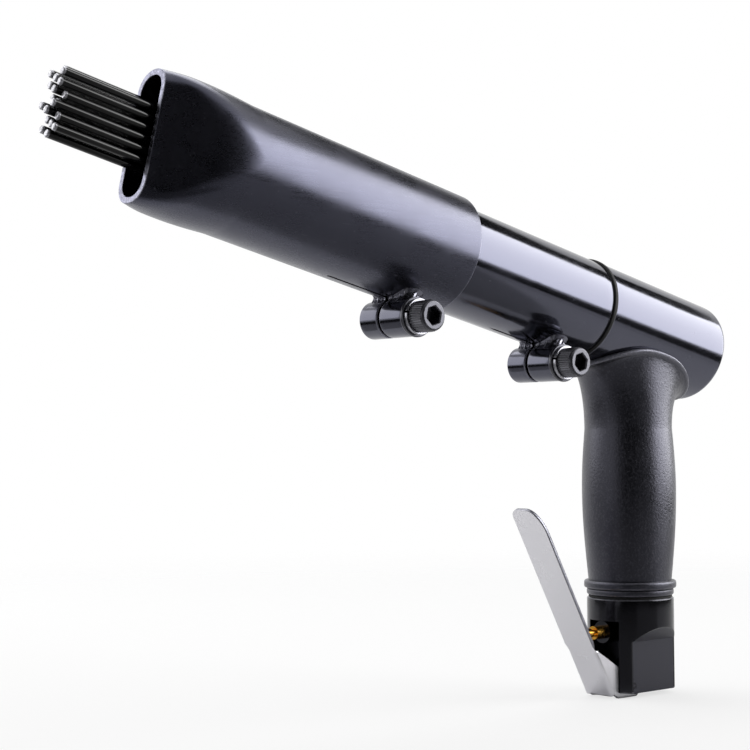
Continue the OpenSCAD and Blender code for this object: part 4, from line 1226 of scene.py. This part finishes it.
@dataclass
class Needles:
    """The bundle of needles in three columns, each with a head at the rear and a beaten tip."""

    start: float = 125.8
    length: float = 182.0
    wear: float = 4.0
    radius: float = 1.5
    head: float = 1.9
    head_length: float = 3.0
    head_round: float = 0.2
    tip_run: float = 1.2
    tip_round: float = 0.75
    tip_bare: float = 0.9
    tip_wear: float = 0.75
    segments: int = 28
    pitch: float = 4.1
    column_pitch: float = 3.9
    columns: tuple[int, ...] = (6, 7, 6)

    def places(self) -> list[Triple]:
        """Across, up and wear share of every needle; the wear is spread evenly by the golden angle."""
        return [
            (
                (c - (len(self.columns) - 1) / 2) * self.column_pitch,
                (i - (count - 1) / 2) * self.pitch,
                (1 + math.sin(math.radians(137.5 * (i + 3 * c * self.columns[1])))) / 2,
            )
            for c, count in enumerate(self.columns)
            for i in range(count)
        ]

    def build(self) -> list[Piece]:
        """Turn every needle about its own line."""
        shell = Shell()
        neck = self.start + self.head_length
        for across, up, share in self.places():
            tip = self.start + self.length - self.wear * share + self.wear / 2
            profile, edge = rounded(
                [(self.start, 0.0, 0.0), (self.start, self.head, self.head_round), (neck, self.head, self.head_round),
                 (neck, self.radius, 0.1), (tip - self.tip_run, self.radius, 0.0),
                 (tip, self.radius, self.tip_round), (tip, 0.0, 0.0)],
                steps=7,
            )
            fine, edge = refined(profile, edge, 12.0)
            worn = np.where(fine[:, 0] > tip - self.tip_bare, np.maximum(edge, self.tip_wear), 0.0)
            shell.grid(turn(fine, Axis.BARREL, self.segments, (across, up)), worn, closed=True)
        return [shell.build("needle_bundle", NEEDLE_WIRE, "needle_pack", ("needles",), "needle_steel")]


@dataclass
class InnerParts:
    """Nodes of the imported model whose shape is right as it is: each gets its finish."""

    finishes: tuple[tuple[Finish, tuple[str, ...]], ...] = (
        (SEAL_RUBBER, ("block_seal", "stem_seal", "throttle_poppet", "cylinder_seal")),
        (TURNED_BRASS, ("inlet_screen", "throttle_stem")),
        (BLACKED_BLOCK, ("throttle_bush",)),
        (SPRING_WIRE, ("throttle_spring", "needle_spring")),
        (BLACK_SCREW, ("valve_plug",)),
        (BRIGHT_STEEL, ("lever_pin", "valve_disc", "piston")),
        (MACHINED_STEEL, ("valve_cap", "valve_seat", "cylinder", "anvil", "needle_holder")),
    )

    def build(self) -> list[Piece]:
        """Give each node the material of its finish."""
        pieces = []
        for finish, nodes in self.finishes:
            for piece in (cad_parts[node] for node in nodes):
                piece.data.materials.clear()
                piece.data.materials.append(finish.material())
                pieces.append(piece)
        return pieces


# Studio


@dataclass
class Studio:
    """Pale floor, soft light, dark cards that shape the reflections and the camera at the photograph's angle."""

    floor: float = -2.25
    floor_reach: Pair = (0.45, 1.1)
    floor_lift: float = 0.7
    floor_paint: float = 0.94
    cloth_lift: float = 0.4
    eye: Triple = (592.8, 522.0, 113.1)
    right: Triple = (-0.76468, 0.64436, -0.00724)
    top: Triple = (0.02044, 0.03548, 0.99916)
    back: Triple = (0.64408, 0.76390, -0.04030)
    lens: float = 81.10
    sensor: float = 36.0
    nearest: float = 0.01
    middle: Triple = (0.10, 0.0, 0.18)
    daylight: float = 0.5
    grey_felt: tuple[str, float] = ("grey_felt", 0.42)
    dark_felt: tuple[str, float] = ("dark_felt", 0.1)
    black_felt: tuple[str, float] = ("black_felt", 0.01)
    card_columns: int = 13
    card_rows: int = 7
    cloth_columns: int = 25

    def build(self) -> None:
        """Set up the camera, the world, the lamps, the floor, the cards and the cloths."""
        self.camera()
        self.world()
        self.lamp("side_softbox", 145.0, 19.0, 1.05, (1.1, 0.95), 7.0)
        self.lamp("side_softbox_gloss", 145.0, 19.0, 1.04, (1.1, 0.95), 11.0).visible_diffuse = False
        self.lamp("far_softbox", -60.0, 17.0, 1.05, (0.75, 0.66), 2.4)
        self.lamp("back_fill", -110.0, 64.0, 1.3, (1.2, 1.0), 9.0)
        self.ground()
        self.card("camera_side_card", (15.0, 110.0), (-7.5, 50.0), 1.5)
        self.card("upper_side_card", (172.0, 190.0), (24.0, 50.0), 0.9)
        self.card("upper_back_card", (190.0, 228.0), (33.0, 50.0), 0.9)
        self.card("table_edge_card", (100.0, 178.0), (-16.5, -8.0), 0.6)
        self.card("far_edge_card", (-75.0, -30.0), (-16.5, -6.0), 0.6)
        self.cloth("near_floor_cloth", (0.0, 114.0), (0.05, 0.3), *self.grey_felt)
        self.cloth("side_floor_cloth", (58.0, 114.0), (0.3, 1.6), *self.grey_felt)
        self.cloth("camera_cloth", (8.0, 58.0), (0.3, 1.6), *self.dark_felt)
        self.cloth("far_floor_cloth", (-48.0, 8.0), (0.3, 1.6), *self.grey_felt)
        bpy.context.scene.view_settings.view_transform = "Standard"

    def toward(self, azimuth: Array | float, height: Array | float, distance: float) -> Array:
        """Points at this distance from the middle of the object, in the directions of two angles in degrees."""
        a, e = np.radians(azimuth), np.radians(height)
        way = stacked(np.cos(a) * np.cos(e), np.sin(a) * np.cos(e), np.sin(e))
        return np.array(self.middle) + distance * way

    def camera(self) -> None:
        """Put the camera where the photograph was taken."""
        data = bpy.data.cameras.new("photo_camera")
        data.lens = self.lens
        data.sensor_width = self.sensor
        data.clip_start = self.nearest
        camera = linked("photo_camera", data)
        axes = Matrix((self.right, self.top, self.back)).transposed().to_4x4()
        camera.matrix_world = Matrix.Translation(Vector(self.eye) * MM) @ axes
        bpy.context.scene.camera = camera

    def lamp(self, name: str, azimuth: float, height: float, distance: float, size: Pair, power: float) -> Piece:
        """Hang a rectangular softbox that faces the object.

        Args:
            name: Name of the lamp.
            azimuth: Its direction from the object, in degrees from X towards Y.
            height: Its height angle, in degrees.
            distance: Its distance in metres.
            size: Its width and height in metres.
            power: Its power in watts.

        Returns:
            The lamp.
        """
        data = bpy.data.lights.new(name, "AREA")
        data.shape = "RECTANGLE"
        data.size, data.size_y = size
        data.energy = power
        lamp = linked(name, data)
        lamp.location = Vector(self.toward(azimuth, height, distance))
        lamp.rotation_euler = (Vector(self.middle) - lamp.location).to_track_quat("-Z", "Y").to_euler()
        return lamp

    def world(self) -> None:
        """Plain white surroundings for the camera and for reflections, at a plain level for other light."""
        world, tree = blank(bpy.data.worlds, "white_studio")
        path = add(tree, "LightPath").node.outputs
        seen = path["Is Camera Ray"]
        for ray in ("Is Glossy Ray", "Is Transmission Ray"):
            seen = add(tree, "Math", {"operation": "MAXIMUM"}, _0=seen, _1=path[ray])
        levels = self.daylight, 1.0
        plain, white = (add(tree, "Background", {"Color": grey(1.0), "Strength": level}) for level in levels)
        add(tree, "OutputWorld", Surface=add(tree, "MixShader", _0=seen, _1=plain, _2=white))
        bpy.context.scene.world = world

    def ground(self) -> None:
        """A pale floor at the lever's toe, which takes the object's shadow and fades out into the white."""
        size = 2.0 * self.floor_reach[1]
        across, along = np.meshgrid((-size, size), (-size, size))
        paint, tree = blank(bpy.data.materials, "matt_white_paint")
        place = add(tree, "TexCoord", out="Object")
        far = add(tree, "VectorMath", {"operation": "LENGTH"}, "Value", _0=place)
        soft = {"interpolation_type": "SMOOTHSTEP", **span(*self.floor_reach)}
        fade = add(tree, "MapRange", soft, Value=far)
        matt = add(tree, "BsdfDiffuse", {"Color": grey(self.floor_paint)})
        white = add(tree, "Emission", {"Color": grey(1.0)})
        seen = add(tree, "LightPath", out="Is Camera Ray")
        lift = add(tree, "Math", {"operation": "MULTIPLY", 1: self.floor_lift}, _0=seen)
        pale = add(tree, "MixShader", _0=lift, _1=matt, _2=white)
        clear = add(tree, "BsdfTransparent")
        add(tree, "OutputMaterial", Surface=add(tree, "MixShader", _0=fade, _1=pale, _2=clear))
        self.stand("studio_floor", stacked(across, along, self.floor * MM), paint)

    def card(self, name: str, azimuth: Pair, height: Pair, distance: float) -> None:
        """Stand a black card, part of a sphere between two azimuths and two heights, where the studio is dark."""
        across, up = np.linspace(*azimuth, self.card_columns), np.linspace(*height, self.card_rows)[:, None]
        self.sheet(name, self.toward(across, up, distance), *self.black_felt)

    def cloth(self, name: str, azimuth: Pair, reach: Pair, felt: str, shade: float) -> None:
        """Lay a cloth on the floor before the object, a part of a ring that only reflections show.

        Args:
            name: Name of the cloth.
            azimuth: Its two ends, in degrees from X towards Y.
            reach: Its inner and outer distance from the handle, in metres.
            felt: Name of its material.
            shade: Linear brightness of the felt.
        """
        a, out = np.radians(np.linspace(*azimuth, self.cloth_columns)), np.array(reach)[:, None]
        points = stacked(out * np.cos(a), out * np.sin(a), (self.floor + self.cloth_lift) * MM)
        cloth = self.sheet(name, points, felt, shade)
        cloth.visible_diffuse = False
        cloth.visible_shadow = False

    def sheet(self, name: str, points: Array, felt: str, shade: float) -> Piece:
        """Make a sheet of felt, unseen by the camera.

        Args:
            name: Name of the sheet.
            points: Array of shape (rows, columns, 3), in metres.
            felt: Name of its material.
            shade: Linear brightness of the felt.

        Returns:
            The sheet.
        """
        material = bpy.data.materials.get(felt) or bpy.data.materials.new(felt)
        material.use_nodes = True
        surface = material.node_tree.nodes["Principled BSDF"].inputs
        surface["Base Color"].default_value = grey(shade)
        surface["Roughness"].default_value = 1.0
        piece = self.stand(name, points, material)
        piece.visible_camera = False
        return piece

    def stand(self, name: str, points: Array, material: bpy.types.Material) -> Piece:
        """Put a piece of the studio in place and mark it as stage.

        Args:
            name: Name of the piece.
            points: Array of shape (rows, columns, 3), in metres.
            material: Its material.

        Returns:
            The piece.
        """
        size = points.shape[:2]
        mesh = mesh_of(name, points, quads(np.arange(size[0] * size[1]).reshape(size)))
        mesh.materials.append(material)
        piece = linked(name, mesh)
        return piece


def main() -> None:
    """Build every sub-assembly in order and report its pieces."""
    logging.basicConfig(level=logging.INFO, format="%(message)s")
    Studio().build()
    parts = [
        Head(),
        SlitTube(
            "rear_barrel", "rear_tube", "housing", start=35.0, end=205.0, outer=REAR_TUBE, inner=20.55, slit=51.5,
            lip=(3.08, 16.6), finish=BLACKED_GROUND,
        ),
        NozzleTube(
            "front_barrel", "front_tube", "front", start=120.5, end=270.0, outer=FRONT_TUBE, inner=23.1, slit=56.5
        ),
        Clamp("rear", "housing", place=54.0, tube=REAR_TUBE),
        Clamp("front", "front", place=140.1, tube=FRONT_TUBE),
        Grip(),
        Block(),
        Lever(),
        Needles(),
        InnerParts(),
    ]
    for part in parts:
        for piece in part.build():
            log.info("%s: %d faces", piece.name, len(piece.data.polygons))


if __name__ == "__main__":
    main()
